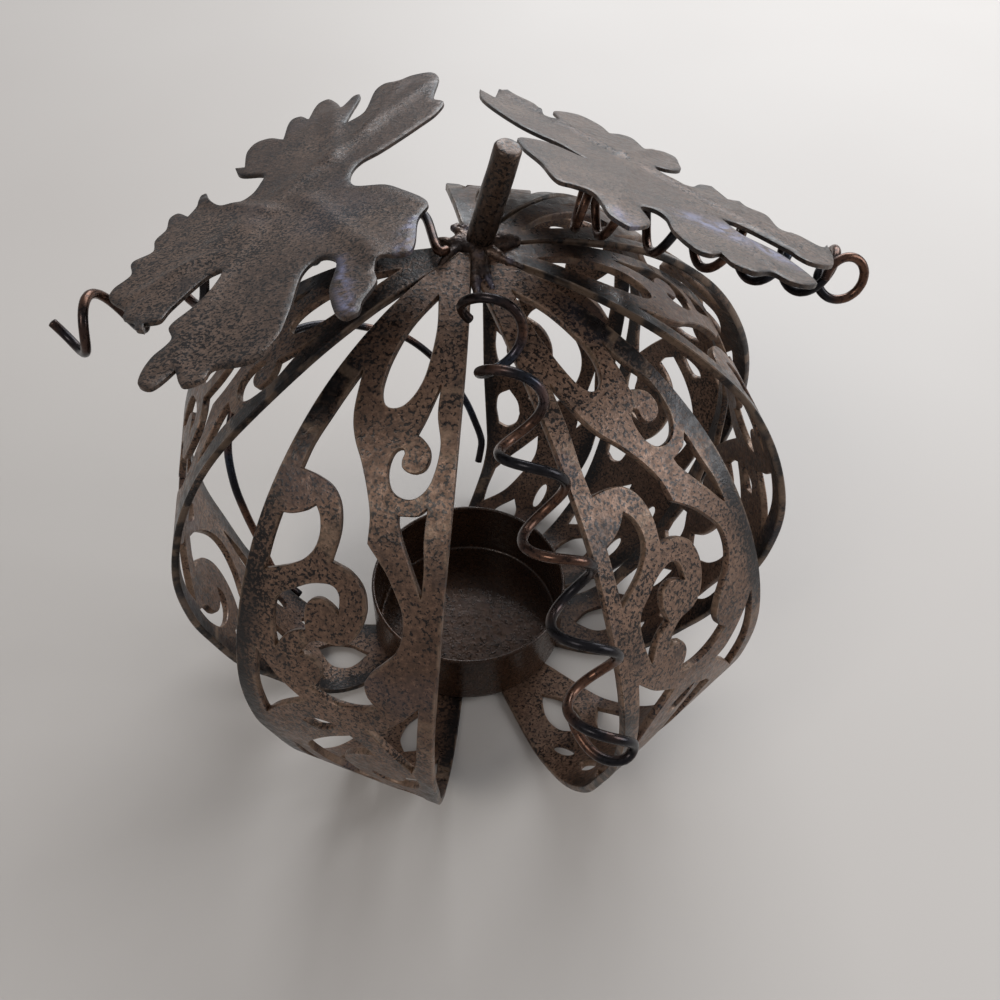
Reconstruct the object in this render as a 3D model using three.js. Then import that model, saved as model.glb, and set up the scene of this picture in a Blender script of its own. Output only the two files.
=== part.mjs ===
import * as THREE from 'three';
import { mergeVertices } from 'three/addons/utils/BufferGeometryUtils.js';

// Pumpkin tealight holder, millimetres, +Z up, the wide gap between the front gores faces -Y.
// Six gores of pierced sheet stand around the upright axis and carry the cup on their lower ends;
// where a seventh would stand, at the back left, a wire arch frames the doorway for the candle.

const PIECE_GAP = 0.3;
const SHEET = 1.3;

// Gore
const GORE_HALF_WIDTH = 16.9;
const GORE_WIDEST_AT = 79;
const GORE_TOP_HALF_WIDTH = 1;
const GORE_FOOT_HALF_WIDTH = 4.8;
const GORE_START = 1.5;
const BEND_SPACING = 9;

// Outer side of a gore from the hub to its lower end, radius and height
const MERIDIAN = [
  [4, 103.5], [17.4, 101.2], [32, 95.2], [44.8, 84.9], [53.6, 71.6], [58.4, 57.4],
  [58.6, 44.2], [56.2, 33], [52.2, 19.6], [46, 8.8], [38.8, 2.6], [31, 0], [15, 0],
];

// Each gore's azimuth from the front towards +X and its twist in degrees, how far it bulges past
// the profile as a share of its radius, and how far its middle is bent sideways
const GORES = [
  { name: 'gore_front_left', azimuth: -21.6, lean: -0.9, bulge: -0.016, sway: 0 },
  { name: 'gore_front_right', azimuth: 37.9, lean: 3.3, bulge: 0.017, sway: 0 },
  { name: 'gore_right', azimuth: 86.7, lean: 12.5, bulge: -0.032, sway: 5.6 },
  { name: 'gore_back_right', azimuth: 128.4, lean: 0, bulge: 0.02, sway: -2.2 },
  { name: 'gore_back', azimuth: 168.2, lean: 3, bulge: -0.005, sway: -8.6 },
  { name: 'gore_left', azimuth: 291.2, lean: -14, bulge: -0.052, sway: -8.4 },
];
const SWAY_FROM = 25;
const SWAY_FULL = 70;
const SWAY_FADES = 122;
const SWAY_GONE = 155;

// Tealight cup
const CUP_RADIUS = 21.5;
const CUP_HEIGHT = 15.5;
const CUP_WALL = 0.8;
const CUP_CORNER = 1.6;

// Stem and the weld around its foot
const STEM_RADIUS = 2.15;
const STEM_FOOT = new THREE.Vector3(1.2, 1.3, 101.2);
const STEM_TOP = new THREE.Vector3(6, -0.8, 121.2);
const STEM_EDGE = 0.5;
const WELD_CENTRE = new THREE.Vector3(1, 0.7, 0);
const WELD_BORE = 3.8;
const WELD_RADIUS = 6.8;
const WELD_HEIGHT = 2.4;

// Leaves
const LEAF_SHEET = 1;

// Tendrils and doorway arch
const WIRE_RADIUS = 0.75;
const ARCH_WIRE_RADIUS = 0.9;
const WIRE_SIDES = 5;
const STEPS_PER_TURN = 8;

function vec2(pairs) {
  return pairs.map(([x, y]) => new THREE.Vector2(x, y));
}

// A closed outline from smooth stretches that meet in corners
function outline(...stretches) {
  return stretches.flatMap((stretch) => {
    const curve = new THREE.SplineCurve(vec2(stretch));
    const steps = stretch.length < 3 ? 1 : Math.ceil((stretch.length - 1) * 1.5);
    return curve.getPoints(steps).slice(0, -1);
  });
}

function ellipse(x, y, halfLength, halfWidth, turn) {
  const curve = new THREE.EllipseCurve(x, y, halfLength, halfWidth, 0, 2 * Math.PI, false, turn);
  return curve.getPoints(8).slice(0, -1);
}

// The openings pierced through a gore: distance along the gore, then across it
function goreOpenings() {
  const teardrop = outline(
    [[7.2, -0.2], [12.8, 1.8], [17.9, 2.8], [21.9, 3.1], [25, 2.5], [26.8, 1.4], [27.4, 0]],
    [[27.4, 0], [27, -1.1], [25.5, -2], [21.9, -2.5], [17.9, -2.4], [13.8, -1.9], [7.2, -0.2]],
  );
  const hook = outline(
    [[21.9, 5.9], [26.5, 7], [30.6, 8.8], [34.7, 9.2], [37.2, 8.8], [39, 7.5], [39.5, 5.8],
      [39, 4], [37.2, 2.8], [34.7, 2.5], [33.2, 2.9], [32.7, 3.7], [33.2, 4.2], [34, 4.1]],
    [[34, 4.1], [35.2, 4.4], [35.7, 5.3], [35.6, 6.6], [34.7, 7.7], [33.2, 8], [31.6, 7.5],
      [30.6, 6.4], [30, 5.1]],
    [[30, 5.1], [27.6, 5.5], [21.9, 5.9]],
  );
  const thorn = outline(
    [[39.9, 9.7], [44.4, 10.4], [48.5, 11.4], [52.6, 11.9]],
    [[52.6, 11.9], [48.5, 9.3], [45.4, 7.3], [43.1, 6.1], [42.1, 5.9]],
    [[42.1, 5.9], [41.3, 8.6], [39.9, 9.7]],
  );
  const middle = outline(
    [[23, -6], [30.1, -4.9], [33.2, -3.6], [36.2, -1.6], [40.1, 0.5], [43.4, 1.8], [47.3, 2.4]],
    [[47.3, 2.4], [50.5, 5.9], [53.1, 7.9], [56, 9.6], [60, 10.1], [62.8, 9.4], [65.3, 7.8],
      [67.9, 6], [70.2, 5.2], [72.4, 5.8], [74.1, 7.3]],
    [[74.1, 7.3], [75.6, 5], [76.5, 2], [76.4, -0.9], [75.1, -4]],
    [[75.1, -4], [73.5, -2.6], [71.4, -2], [69.4, -2.8], [68.5, -4.2], [68.5, -5.7]],
    [[68.5, -5.7], [66, -4.2], [65, -2.4]],
    [[65, -2.4], [64.7, 0.6], [63.3, 2.5], [60.2, 3.8], [57, 4], [54, 2.9], [52.2, 0.6],
      [51.5, -2.4]],
    [[51.5, -2.4], [47.4, -2], [44.9, -2.3], [42.5, -3.2], [40.7, -4.9], [39.8, -7.5],
      [39.5, -10]],
    [[39.5, -10], [35.7, -9.4], [30.6, -8], [23, -6]],
  );
  const bud = outline(
    [[44.1, -6.5], [45.4, -5.6], [48, -5], [50.5, -5.4], [52.6, -6.8], [54.1, -8.8],
      [56, -12.6]],
    [[56, -12.6], [51, -12.1], [46.7, -11.5]],
    [[46.7, -11.5], [46.4, -9.8], [45.5, -8], [44.1, -6.5]],
  );
  const spiral = outline(
    [[59.3, 0], [58.3, -1.5], [57.8, -3.2], [58.6, -4.8], [60.5, -5.5], [64, -5]],
    [[64, -5], [64.8, -6.8], [66.3, -8.5], [68.6, -9.8]],
    [[68.6, -9.8], [65.3, -10.4], [61.2, -10.4], [59.2, -9.6], [57.6, -7.5], [56.2, -5.5],
      [55.4, -3.5], [55.2, -1.6], [56.1, -0.5], [59.3, 0]],
  );
  const rightSail = outline(
    [[71.1, 14.2], [80.3, 14.2], [86, 13.8], [90.6, 12.8]],
    [[90.6, 12.8], [87.8, 11], [85.4, 9.4], [82.9, 7.5], [80.5, 5.5]],
    [[80.5, 5.5], [79.6, 7.8], [77.8, 9.6], [74.7, 12], [71.1, 14.2]],
  );
  const leftSail = outline(
    [[78.5, -5.2], [82.9, -10.1], [87, -13]],
    [[87, -13], [78, -13.4], [70.6, -13]],
    [[70.6, -13], [74.7, -9.8], [76.3, -8], [78.5, -5.2]],
  );
  const drop = outline(
    [[82.4, 0.4], [84.3, -0.9], [86, -3.5], [84.9, -5.9]],
    [[84.9, -5.9], [83.4, -4.8], [82.6, -2.6], [82.4, 0.4]],
  );
  const comma = outline(
    [[84.5, 2.5], [88, -1.6], [92.5, -5.2], [98, -7.8], [103.5, -7.8], [108.6, -5.6],
      [112.6, -1.6]],
    [[112.6, -1.6], [112.8, 1.6], [110.6, 4]],
    [[110.6, 4], [107.4, 1.4], [103, -0.4], [98, -0.8], [93.8, 0.6], [90.8, 3], [88.8, 6.2]],
    [[88.8, 6.2], [86.6, 5], [84.5, 2.5]],
  );
  const lowHook = outline(
    [[93.2, 13.3], [98, 13.2], [102.4, 11.8], [105, 8.8], [105, 5.6], [102.8, 3.9], [100, 4]],
    [[100, 4], [101.6, 6], [101.4, 8.6], [99, 10.3], [95.8, 10.8], [93.2, 13.3]],
  );
  const rimLeaf = outline(
    [[109, 9], [110.6, 11.4], [114, 11.9], [118.4, 10.9]],
    [[118.4, 10.9], [119.2, 8.6], [118, 6.6], [115.4, 5.9]],
    [[115.4, 5.9], [112.2, 6.7], [109, 9]],
  );
  const lowSail = outline(
    [[101.5, -11.6], [107, -10.5], [113, -9.3], [118, -8.8]],
    [[118, -8.8], [115, -11], [110, -12.1], [101.5, -11.6]],
  );
  const underLeaf = outline(
    [[121, 0.6], [124.2, 3.6], [127.6, 6.6], [131, 8.8]],
    [[131, 8.8], [135.6, 8.4], [140, 7.2]],
    [[140, 7.2], [136.6, 3.8], [132, 2], [126.6, 0.4], [121, 0.6]],
  );
  const foot = outline(
    [[138.5, 0], [142, 3.2], [147, 3.3], [151.6, 0.4]],
    [[151.6, 0.4], [147, -2.4], [142.4, -2.4], [138.5, 0]],
  );
  return [
    teardrop, hook, thorn, middle, bud, spiral, rightSail, leftSail, drop, comma, lowHook,
    rimLeaf, lowSail, underLeaf, foot,
    ellipse(125.5, -7.3, 3.6, 1.3, 0.1), ellipse(137, -5.8, 3.2, 1.1, -0.1),
  ];
}

// The path of a gore's outer side, by its length from the hub
function meridianPath() {
  const curve = new THREE.SplineCurve(vec2(MERIDIAN));
  curve.arcLengthDivisions = 600;
  return curve;
}

// Where the sheet is bent: every flat facet lies between two of these lines
function bendLines(curve) {
  const length = curve.getLength();
  const baseLength = MERIDIAN.at(-2)[0] - MERIDIAN.at(-1)[0];
  const shell = length - baseLength;
  const count = Math.round((shell - GORE_START) / BEND_SPACING);
  const lines = [];
  for (let i = 0; i <= count; i++) {
    lines.push(GORE_START + (shell - GORE_START) * i / count);
  }
  lines.push(length);
  return lines;
}

function goreHalfWidth(s, length) {
  const above = s < GORE_WIDEST_AT;
  const reach = above ? GORE_WIDEST_AT : length - GORE_WIDEST_AT;
  const narrow = above ? GORE_TOP_HALF_WIDTH : GORE_FOOT_HALF_WIDTH;
  const share = Math.abs(s - GORE_WIDEST_AT) / reach;
  return GORE_HALF_WIDTH - (GORE_HALF_WIDTH - narrow) * share * share;
}

// The loop with a point added wherever it crosses a bend line
function withCrossings(loop, lines) {
  const out = [];
  loop.forEach((p, i) => {
    const q = loop[(i + 1) % loop.length];
    out.push(p);
    const between = lines.filter((x) => (x - p.x) * (x - q.x) < 0);
    between.sort((a, b) => Math.sign(q.x - p.x) * (a - b));
    for (const x of between) {
      const y = p.y + (q.y - p.y) * (x - p.x) / (q.x - p.x);
      out.push(new THREE.Vector2(x, y));
    }
  });
  return out;
}

// Closes the open chains of one facet: along a bend line the metal lies between ends 0-1, 2-3, ...
function joinChains(chains) {
  const heads = chains.map((chain, i) => ({ p: chain[0], chain: i, head: true }));
  const tails = chains.map((chain, i) => ({ p: chain.at(-1), chain: i, head: false }));
  const ends = [...heads, ...tails];
  const next = new Map();
  for (const x of new Set(ends.map((end) => end.p.x))) {
    const row = ends.filter((end) => end.p.x === x).sort((a, b) => a.p.y - b.p.y);
    for (let k = 0; k + 1 < row.length; k += 2) {
      const [head, tail] = row[k].head ? [row[k], row[k + 1]] : [row[k + 1], row[k]];
      next.set(tail.chain, head.chain);
    }
  }
  const loops = [];
  const used = new Set();
  for (let i = 0; i < chains.length; i++) {
    const loop = [];
    let at = i;
    while (!used.has(at)) {
      used.add(at);
      loop.push(...chains[at]);
      at = next.get(at);
    }
    if (loop.length > 2) {
      loops.push(loop);
    }
  }
  return loops;
}

// Sorts the loops into the facets between neighbouring bend lines
function facetsOf(loops, lines) {
  const facets = lines.slice(1).map(() => ({ chains: [], holes: [] }));
  const facetAt = (x) => {
    const i = lines.findIndex((line) => line > x);
    return i < 0 ? facets.length - 1 : Math.max(0, i - 1);
  };
  for (const loop of loops) {
    const n = loop.length;
    const home = loop.map((p, i) => facetAt((p.x + loop[(i + 1) % n].x) / 2));
    const first = home.findIndex((h, i) => h !== home[(i + n - 1) % n]);
    if (first < 0) {
      facets[home[0]].holes.push(loop);
      continue;
    }
    let chain = [loop[first]];
    for (let k = 0; k < n; k++) {
      const i = (first + k) % n;
      const j = (i + 1) % n;
      chain.push(loop[j]);
      if (home[j] !== home[i]) {
        facets[home[i]].chains.push(chain);
        chain = [loop[j]];
      }
    }
  }
  return facets;
}

function inside(point, loop) {
  let odd = false;
  loop.forEach((a, i) => {
    const b = loop[(i + 1) % loop.length];
    const across = (a.y > point.y) !== (b.y > point.y);
    if (across && point.x < a.x + (b.x - a.x) * (point.y - a.y) / (b.y - a.y)) {
      odd = !odd;
    }
  });
  return odd;
}

// A closed sheet of metal: the border runs anticlockwise seen from its outer side
function sheetGeometry(border, holes, lines, place) {
  const turned = holes.map((hole) => (THREE.ShapeUtils.isClockWise(hole) ? hole : hole.slice().reverse()));
  const loops = [border, ...turned].map((loop) => withCrossings(loop, lines));
  const corners = [];
  const add = (...points) => {
    for (const p of points) {
      corners.push(p.x, p.y, p.z);
    }
  };
  for (const facet of facetsOf(loops, lines)) {
    const edges = facet.chains.length > 0 ? joinChains(facet.chains) : [facet.holes.shift()];
    for (const edge of edges) {
      const own = facet.holes.filter((hole) => inside(hole[0], edge));
      const flat = [edge, ...own].flat();
      for (const [i, j, k] of THREE.ShapeUtils.triangulateShape(edge, own)) {
        const [a, b, c] = [flat[i], flat[j], flat[k]];
        const area = (b.x - a.x) * (c.y - a.y) - (c.x - a.x) * (b.y - a.y);
        const [p, q, r] = area > 0 ? [a, b, c] : [a, c, b];
        add(place(p, 0), place(q, 0), place(r, 0));
        add(place(p, 1), place(r, 1), place(q, 1));
      }
    }
  }
  for (const loop of loops) {
    loop.forEach((p, i) => {
      const q = loop[(i + 1) % loop.length];
      add(place(p, 1), place(q, 1), place(q, 0));
      add(place(p, 1), place(q, 0), place(p, 0));
    });
  }
  return solid(corners);
}

function solid(corners) {
  const geometry = new THREE.BufferGeometry();
  geometry.setAttribute('position', new THREE.Float32BufferAttribute(corners, 3));
  const merged = mergeVertices(geometry, 1e-4);
  merged.computeVertexNormals();
  return merged;
}

// Station i of the bent sheet: its outer point and the direction of the sheet's thickness there
function goreStations(curve, lines) {
  const length = curve.getLength();
  const points = lines.map((s) => {
    const p = curve.getPointAt(Math.min(1, s / length));
    p.y = Math.max(0, p.y);
    return p;
  });
  const normals = points.slice(1).map((q, i) => {
    const along = q.clone().sub(points[i]).normalize();
    return new THREE.Vector2(-along.y, along.x);
  });
  return points.map((p, i) => {
    const a = normals[Math.max(0, i - 1)];
    const b = normals[Math.min(normals.length - 1, i)];
    const mitre = a.clone().add(b).normalize();
    return { outer: p, depth: mitre.multiplyScalar(-SHEET / mitre.dot(a)) };
  });
}

function swayShare(s) {
  const comes = THREE.MathUtils.smoothstep(s, SWAY_FROM, SWAY_FULL);
  return comes * (1 - THREE.MathUtils.smoothstep(s, SWAY_FADES, SWAY_GONE));
}

// Where a point of the flat gore comes to lie, `under` going from its outer side 0 to its inner 1
function gorePlace({ azimuth, lean, bulge, sway }, curve, lines) {
  const stations = goreStations(curve, lines);
  const fromFront = THREE.MathUtils.degToRad(azimuth);
  const across = THREE.MathUtils.degToRad(azimuth + lean);
  const equator = Math.max(...MERIDIAN.map(([r]) => r));
  return (p, under) => {
    let i = lines.findIndex((line) => line > p.x) - 1;
    i = i < 0 ? lines.length - 2 : i;
    const share = (p.x - lines[i]) / (lines[i + 1] - lines[i]);
    const [a, b] = [stations[i], stations[i + 1]];
    const start = a.outer.clone().addScaledVector(a.depth, under);
    const end = b.outer.clone().addScaledVector(b.depth, under);
    const at = start.lerp(end, share);
    const radius = at.x * (1 + bulge * Math.sin(Math.PI / 2 * Math.min(1, at.x / equator)));
    const [swayA, swayB] = [swayShare(lines[i]), swayShare(lines[i + 1])];
    const side = p.y + sway * (swayA + (swayB - swayA) * share);
    return new THREE.Vector3(
      radius * Math.sin(fromFront) + side * Math.cos(across),
      -radius * Math.cos(fromFront) + side * Math.sin(across),
      at.y,
    );
  };
}

function goreGeometry(gore, openings) {
  const curve = meridianPath();
  const lines = bendLines(curve);
  const length = curve.getLength();
  const border = [];
  for (const s of lines) {
    border.unshift(new THREE.Vector2(s, goreHalfWidth(s, length)));
    border.push(new THREE.Vector2(s, -goreHalfWidth(s, length)));
  }
  return sheetGeometry(border, openings, lines, gorePlace(gore, curve, lines));
}

function cupGeometry() {
  const floor = SHEET + PIECE_GAP;
  const rim = floor + CUP_HEIGHT;
  const inner = CUP_RADIUS - CUP_WALL;
  const cos = Math.SQRT1_2;
  const profile = vec2([
    [0, floor],
    [CUP_RADIUS - CUP_CORNER, floor],
    [CUP_RADIUS - CUP_CORNER * (1 - cos), floor + CUP_CORNER * (1 - cos)],
    [CUP_RADIUS, floor + CUP_CORNER],
    [CUP_RADIUS, rim],
    [inner, rim],
    [inner, floor + CUP_CORNER],
    [inner - (CUP_CORNER - CUP_WALL), floor + CUP_WALL],
    [0, floor + CUP_WALL],
  ]);
  return turnedSolid(profile, 44);
}

function turnedSolid(profile, segments) {
  const lathe = new THREE.LatheGeometry(profile, segments).toNonIndexed();
  lathe.deleteAttribute('normal');
  lathe.deleteAttribute('uv');
  lathe.rotateX(Math.PI / 2);
  const merged = mergeVertices(lathe, 1e-4);
  return withoutSlivers(merged);
}

// Triangles that shrink to a line on the axis are left out
function withoutSlivers(geometry) {
  const index = geometry.index.array;
  const kept = [];
  for (let i = 0; i < index.length; i += 3) {
    const [a, b, c] = [index[i], index[i + 1], index[i + 2]];
    if (a !== b && b !== c && c !== a) {
      kept.push(a, b, c);
    }
  }
  geometry.setIndex(kept);
  geometry.computeVertexNormals();
  return geometry;
}

// The weld: a low ring on the gores' upper ends with the stem's foot in its bore
function weldGeometry() {
  const floor = MERIDIAN[0][1] + PIECE_GAP;
  const top = floor + WELD_HEIGHT;
  const middle = (WELD_BORE + WELD_RADIUS) / 2;
  const profile = vec2([
    [WELD_BORE, floor],
    [WELD_RADIUS, floor],
    [WELD_RADIUS - 0.5, floor + WELD_HEIGHT * 0.4],
    [middle, top - 0.4],
    [WELD_BORE + 0.5, top],
    [WELD_BORE, top - 0.4],
    [WELD_BORE, floor],
  ]);
  return turnedSolid(profile, 20).translate(WELD_CENTRE.x, WELD_CENTRE.y, 0);
}

function stemGeometry() {
  const axis = STEM_TOP.clone().sub(STEM_FOOT);
  const length = axis.length();
  const profile = vec2([
    [0, 0],
    [STEM_RADIUS, 0],
    [STEM_RADIUS, length - STEM_EDGE],
    [STEM_RADIUS - STEM_EDGE, length],
    [0, length],
  ]);
  const upright = new THREE.Vector3(0, 0, 1);
  const turn = new THREE.Quaternion().setFromUnitVectors(upright, axis.normalize());
  return turnedSolid(profile, 14).applyQuaternion(turn).translate(STEM_FOOT.x, STEM_FOOT.y, STEM_FOOT.z);
}

// A leaf lies flat in its own tilted plane, x towards its free tip
function leafGeometry({ centre, towardsTip, normal, border }) {
  const z = new THREE.Vector3(...normal).normalize();
  const x = new THREE.Vector3(...towardsTip).addScaledVector(z, -z.dot(new THREE.Vector3(...towardsTip)));
  x.normalize();
  const y = z.clone().cross(x);
  const place = (p, under) => new THREE.Vector3(...centre)
    .addScaledVector(x, p.x)
    .addScaledVector(y, p.y)
    .addScaledVector(z, -LEAF_SHEET * under);
  const loop = vec2(border);
  const edge = THREE.ShapeUtils.isClockWise(loop) ? loop.reverse() : loop;
  return sheetGeometry(edge, [], [-200, 200], place);
}

const LEFT_LEAF = {
  centre: [-32.5, -0.76, 108.5],
  normal: [-0.207, 0.142, 0.968],
  towardsTip: [-0.768, -0.637, -0.071],
  border: [
    [-54.1, -26.1], [-53.2, -22.4], [-45.5, -13.5], [-45.3, -10.4], [-41.4, -7.3], [-36.6, -5.7],
    [-26.5, -3.2], [-22.6, -2.8], [-19.5, -1], [-17, 2.2], [-16.4, 4.8], [-19, 9.2],
    [-19.3, 12.8], [-18.4, 21.1], [-14.7, 23.8], [-7.6, 31.2], [-4.5, 29], [-2.4, 30.6],
    [-0.7, 33.6], [3.3, 36.3], [5.4, 38.3], [7, 37.9], [7.1, 36], [5.7, 32.4], [4.1, 29.6],
    [-0.5, 24.1], [-0.8, 22.6], [-0.2, 20.9], [1.4, 20.8], [3.8, 22.1], [10.6, 29.9],
    [14.6, 33.7], [18.9, 35], [22.8, 31.4], [24.5, 32.6], [26.9, 31.9], [26, 27.7], [30, 29.1],
    [30.6, 27.3], [29.5, 25.2], [26.8, 22.7], [23.3, 21.2], [21.9, 17.8], [15.5, 15.6],
    [10.8, 11.7], [10.3, 10.4], [11.4, 9.6], [19.6, 13.2], [22.2, 15], [23.8, 13.5],
    [24.7, 15.6], [25.2, 14.2], [24.4, 11.5], [24.9, 8.5], [23.8, 6.5], [23.8, 0.9],
    [22.4, -0.9], [19, -2.3], [17, -6.3], [13.7, -6.4], [11.5, -10.1], [8.9, -11.9],
    [6.2, -15.9], [4.8, -16], [4.4, -13.1], [1.5, -15.6], [-0.8, -18.8], [-1.7, -18.7],
    [-0.3, -13.7], [-0.6, -10.7], [-2.2, -9.2], [-5.3, -9.8], [-8.7, -12.6], [-10.7, -15.2],
    [-8.6, -19.5], [-9.7, -23.5], [-10.8, -22.1], [-15.1, -28.8], [-18, -30.6], [-20.2, -29.7],
    [-21.1, -26.5], [-27.7, -34.4], [-29.3, -34.1], [-29.1, -30.9], [-35.7, -38.1],
    [-37.8, -38.1], [-37.5, -34.7], [-35.8, -30.1], [-41, -33.6], [-41.8, -33], [-30.8, -20.7],
    [-35.2, -21.7], [-44.6, -30.9], [-47, -31.3], [-48.7, -29.4], [-51.5, -28.8],
  ],
};

const RIGHT_LEAF = {
  centre: [32.35, 9.65, 109.5],
  normal: [0.269, 0.297, 0.916],
  towardsTip: [0.7, -0.713, 0.026],
  border: [
    [-39.4, -2.7], [-25.4, -8.8], [-20.5, -9.3], [-16.4, -9], [-9, -11.2], [-15.3, -12],
    [-17.1, -13.4], [-17.7, -18], [-13.2, -22.3], [-7, -25.7], [1.1, -31.1], [2.4, -29.4],
    [4.6, -28.2], [11.3, -32.8], [15.3, -33.8], [14.7, -28.1], [9.9, -23.4], [10.9, -21.6],
    [13.1, -22.2], [17.8, -26.8], [24.6, -31.3], [25.6, -30.4], [25.5, -27.6], [28.7, -29.8],
    [31.1, -29], [31.9, -24.9], [34.3, -25.2], [35.7, -23.6], [35.8, -20], [30.1, -15.1],
    [26.9, -13.4], [24.3, -12.9], [19.3, -12.9], [15.1, -9.3], [16.2, -7.3], [25.7, -7.6],
    [29.7, -8.6], [30.9, -4], [28.9, 1.6], [25.2, 7.2], [25.4, 4.5], [21.2, 4.5], [19.2, 2.8],
    [13.3, 8.4], [10.4, 7.8], [7.8, 9.7], [7, 7], [1.1, 11.7], [0.4, 8.8], [1.5, 3.6],
    [-1.9, 2.7], [-7.7, 7.2], [-6.5, 9.3], [-6.4, 13.1], [-10.3, 19.1], [-14.4, 23.7],
    [-16.9, 23.4], [-17.2, 18], [-24.3, 23.2], [-25.7, 21.8], [-25.7, 18.3], [-30.7, 21.9],
    [-36.6, 23.1], [-37.8, 20.6], [-37.4, 15.6], [-34.4, 12.8], [-28.5, 7.5], [-32.6, 6.9],
    [-38.2, 12.2], [-43, 15.5], [-52.2, 18.9], [-51.4, 16.1], [-42, 3.4], [-46.9, 4.6],
  ],
};

// Ring centres of a coil: it winds around the axis curve, `side` is where angle 0 lies and
// `radius` gives the coil's centre-line radius at its start and its end
function coilPoints({ axis, side, radius, turns, start, sense }) {
  const curve = new THREE.CatmullRomCurve3(axis.map((p) => new THREE.Vector3(...p)), false, 'centripetal');
  const count = Math.round(turns * STEPS_PER_TURN);
  const points = [];
  for (let i = 0; i <= count; i++) {
    const u = i / count;
    const along = curve.getTangentAt(u);
    const a = new THREE.Vector3(...side);
    a.addScaledVector(along, -a.dot(along)).normalize();
    const b = along.clone().cross(a);
    const angle = start + sense * 2 * Math.PI * i / STEPS_PER_TURN;
    const reach = radius[0] + (radius[1] - radius[0]) * u;
    points.push(curve.getPointAt(u)
      .addScaledVector(a, reach * Math.cos(angle))
      .addScaledVector(b, reach * Math.sin(angle)));
  }
  return points;
}

// A round wire through the given centres, closed at both ends
function wireGeometry(centres, wireRadius) {
  const rings = [];
  let across = new THREE.Vector3(0, 0, 1);
  centres.forEach((centre, i) => {
    const before = centres[Math.max(0, i - 1)];
    const after = centres[Math.min(centres.length - 1, i + 1)];
    const along = after.clone().sub(before).normalize();
    across = across.clone().addScaledVector(along, -across.dot(along)).normalize();
    const other = along.clone().cross(across);
    const ring = [];
    for (let k = 0; k < WIRE_SIDES; k++) {
      const angle = 2 * Math.PI * k / WIRE_SIDES;
      ring.push(centre.clone()
        .addScaledVector(across, wireRadius * Math.cos(angle))
        .addScaledVector(other, wireRadius * Math.sin(angle)));
    }
    rings.push(ring);
  });
  const corners = [];
  const add = (...points) => {
    for (const p of points) {
      corners.push(p.x, p.y, p.z);
    }
  };
  for (let i = 0; i + 1 < rings.length; i++) {
    for (let k = 0; k < WIRE_SIDES; k++) {
      const m = (k + 1) % WIRE_SIDES;
      add(rings[i][k], rings[i][m], rings[i + 1][m]);
      add(rings[i][k], rings[i + 1][m], rings[i + 1][k]);
    }
  }
  for (let k = 1; k + 1 < WIRE_SIDES; k++) {
    add(rings[0][0], rings[0][k + 1], rings[0][k]);
    add(rings.at(-1)[0], rings.at(-1)[k], rings.at(-1)[k + 1]);
  }
  return solid(corners);
}

// Least clear distance of a wire to itself, measured between points of its centre line
function leastGap(centres) {
  const fine = [];
  for (let i = 0; i + 1 < centres.length; i++) {
    for (let k = 0; k < 6; k++) {
      fine.push(centres[i].clone().lerp(centres[i + 1], k / 6));
    }
  }
  const apart = 18;
  let least = Infinity;
  for (let i = 0; i < fine.length; i++) {
    for (let j = i + apart; j < fine.length; j++) {
      least = Math.min(least, fine[i].distanceTo(fine[j]));
    }
  }
  return least - 2 * WIRE_RADIUS;
}

// Each tendril in its stretches from the hub outwards: plain points or coils
const TENDRILS = [
  {
    name: 'tendril_front',
    stretches: [
      { points: [[1.2, -6, 106]] },
      {
        axis: [[1.9, -14.4, 107.6], [5.2, -28.4, 100.9], [8.4, -37.7, 93.3], [10.9, -45.6, 85],
          [14.5, -53, 75], [19.6, -61.2, 63.4]],
        side: [1, 0.2, 0], radius: [4, 4.4], turns: 5.5, start: Math.PI, sense: 1,
      },
      {
        axis: [[20, -62, 62.4], [20.6, -63.4, 60.4]],
        side: [1, 0.2, 0], radius: [4.6, 4.2], turns: 0.5, start: 0.25 * Math.PI, sense: 1,
      },
    ],
  },
  {
    name: 'tendril_right',
    stretches: [
      { points: [[6.8, 4.1, 106]] },
      {
        axis: [[15, 10, 107.9], [37, 5.6, 102.8], [55.6, 2.2, 98.6]],
        side: [0, -1, 0], radius: [4.2, 4.2], turns: 5, start: Math.PI, sense: 1,
      },
      {
        axis: [[60.3, 0.4, 98.3], [60.6, -1.6, 99.1]],
        side: [-1, 0, 0], radius: [2.8, 2.5], turns: 1, start: 0, sense: 1,
      },
    ],
  },
  {
    name: 'tendril_left',
    stretches: [
      { points: [[-5.5, 2, 106]] },
      {
        axis: [[-10, 4.6, 107.3], [-22, 2, 104.6], [-36, -3, 101.9], [-63, -13, 96.4]],
        side: [0, -1, 0], radius: [3.1, 4.2], turns: 6, start: Math.PI, sense: -1,
      },
    ],
  },
];

// The doorway arch: azimuth, radius and height of points along its free part, and where its feet
// lie along the edges of the gores beside the doorway, by the distance from the hub
const ARCH = [
  [178.2, 50.9, 17], [180.8, 53, 21.8], [187.6, 56.3, 32], [195.6, 58, 40.2], [203.4, 58.6, 44.4],
  [210.4, 58.9, 48], [219, 59.1, 50.8], [229, 59, 50.8], [238.5, 58.4, 46.2], [244.4, 57.7, 41],
  [247.8, 57.1, 36.3], [251.1, 55.2, 29.2], [253, 53, 22.6], [254.5, 50.8, 17],
];
const ARCH_FEET = {
  gore_back: { side: 1, from: [130, 127, 124] },
  gore_left: { side: -1, from: [126, 130, 134] },
};

function tendrilCentres(stretches) {
  return stretches.flatMap((stretch) => (
    stretch.points ? stretch.points.map((p) => new THREE.Vector3(...p)) : coilPoints(stretch)
  ));
}

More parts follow.
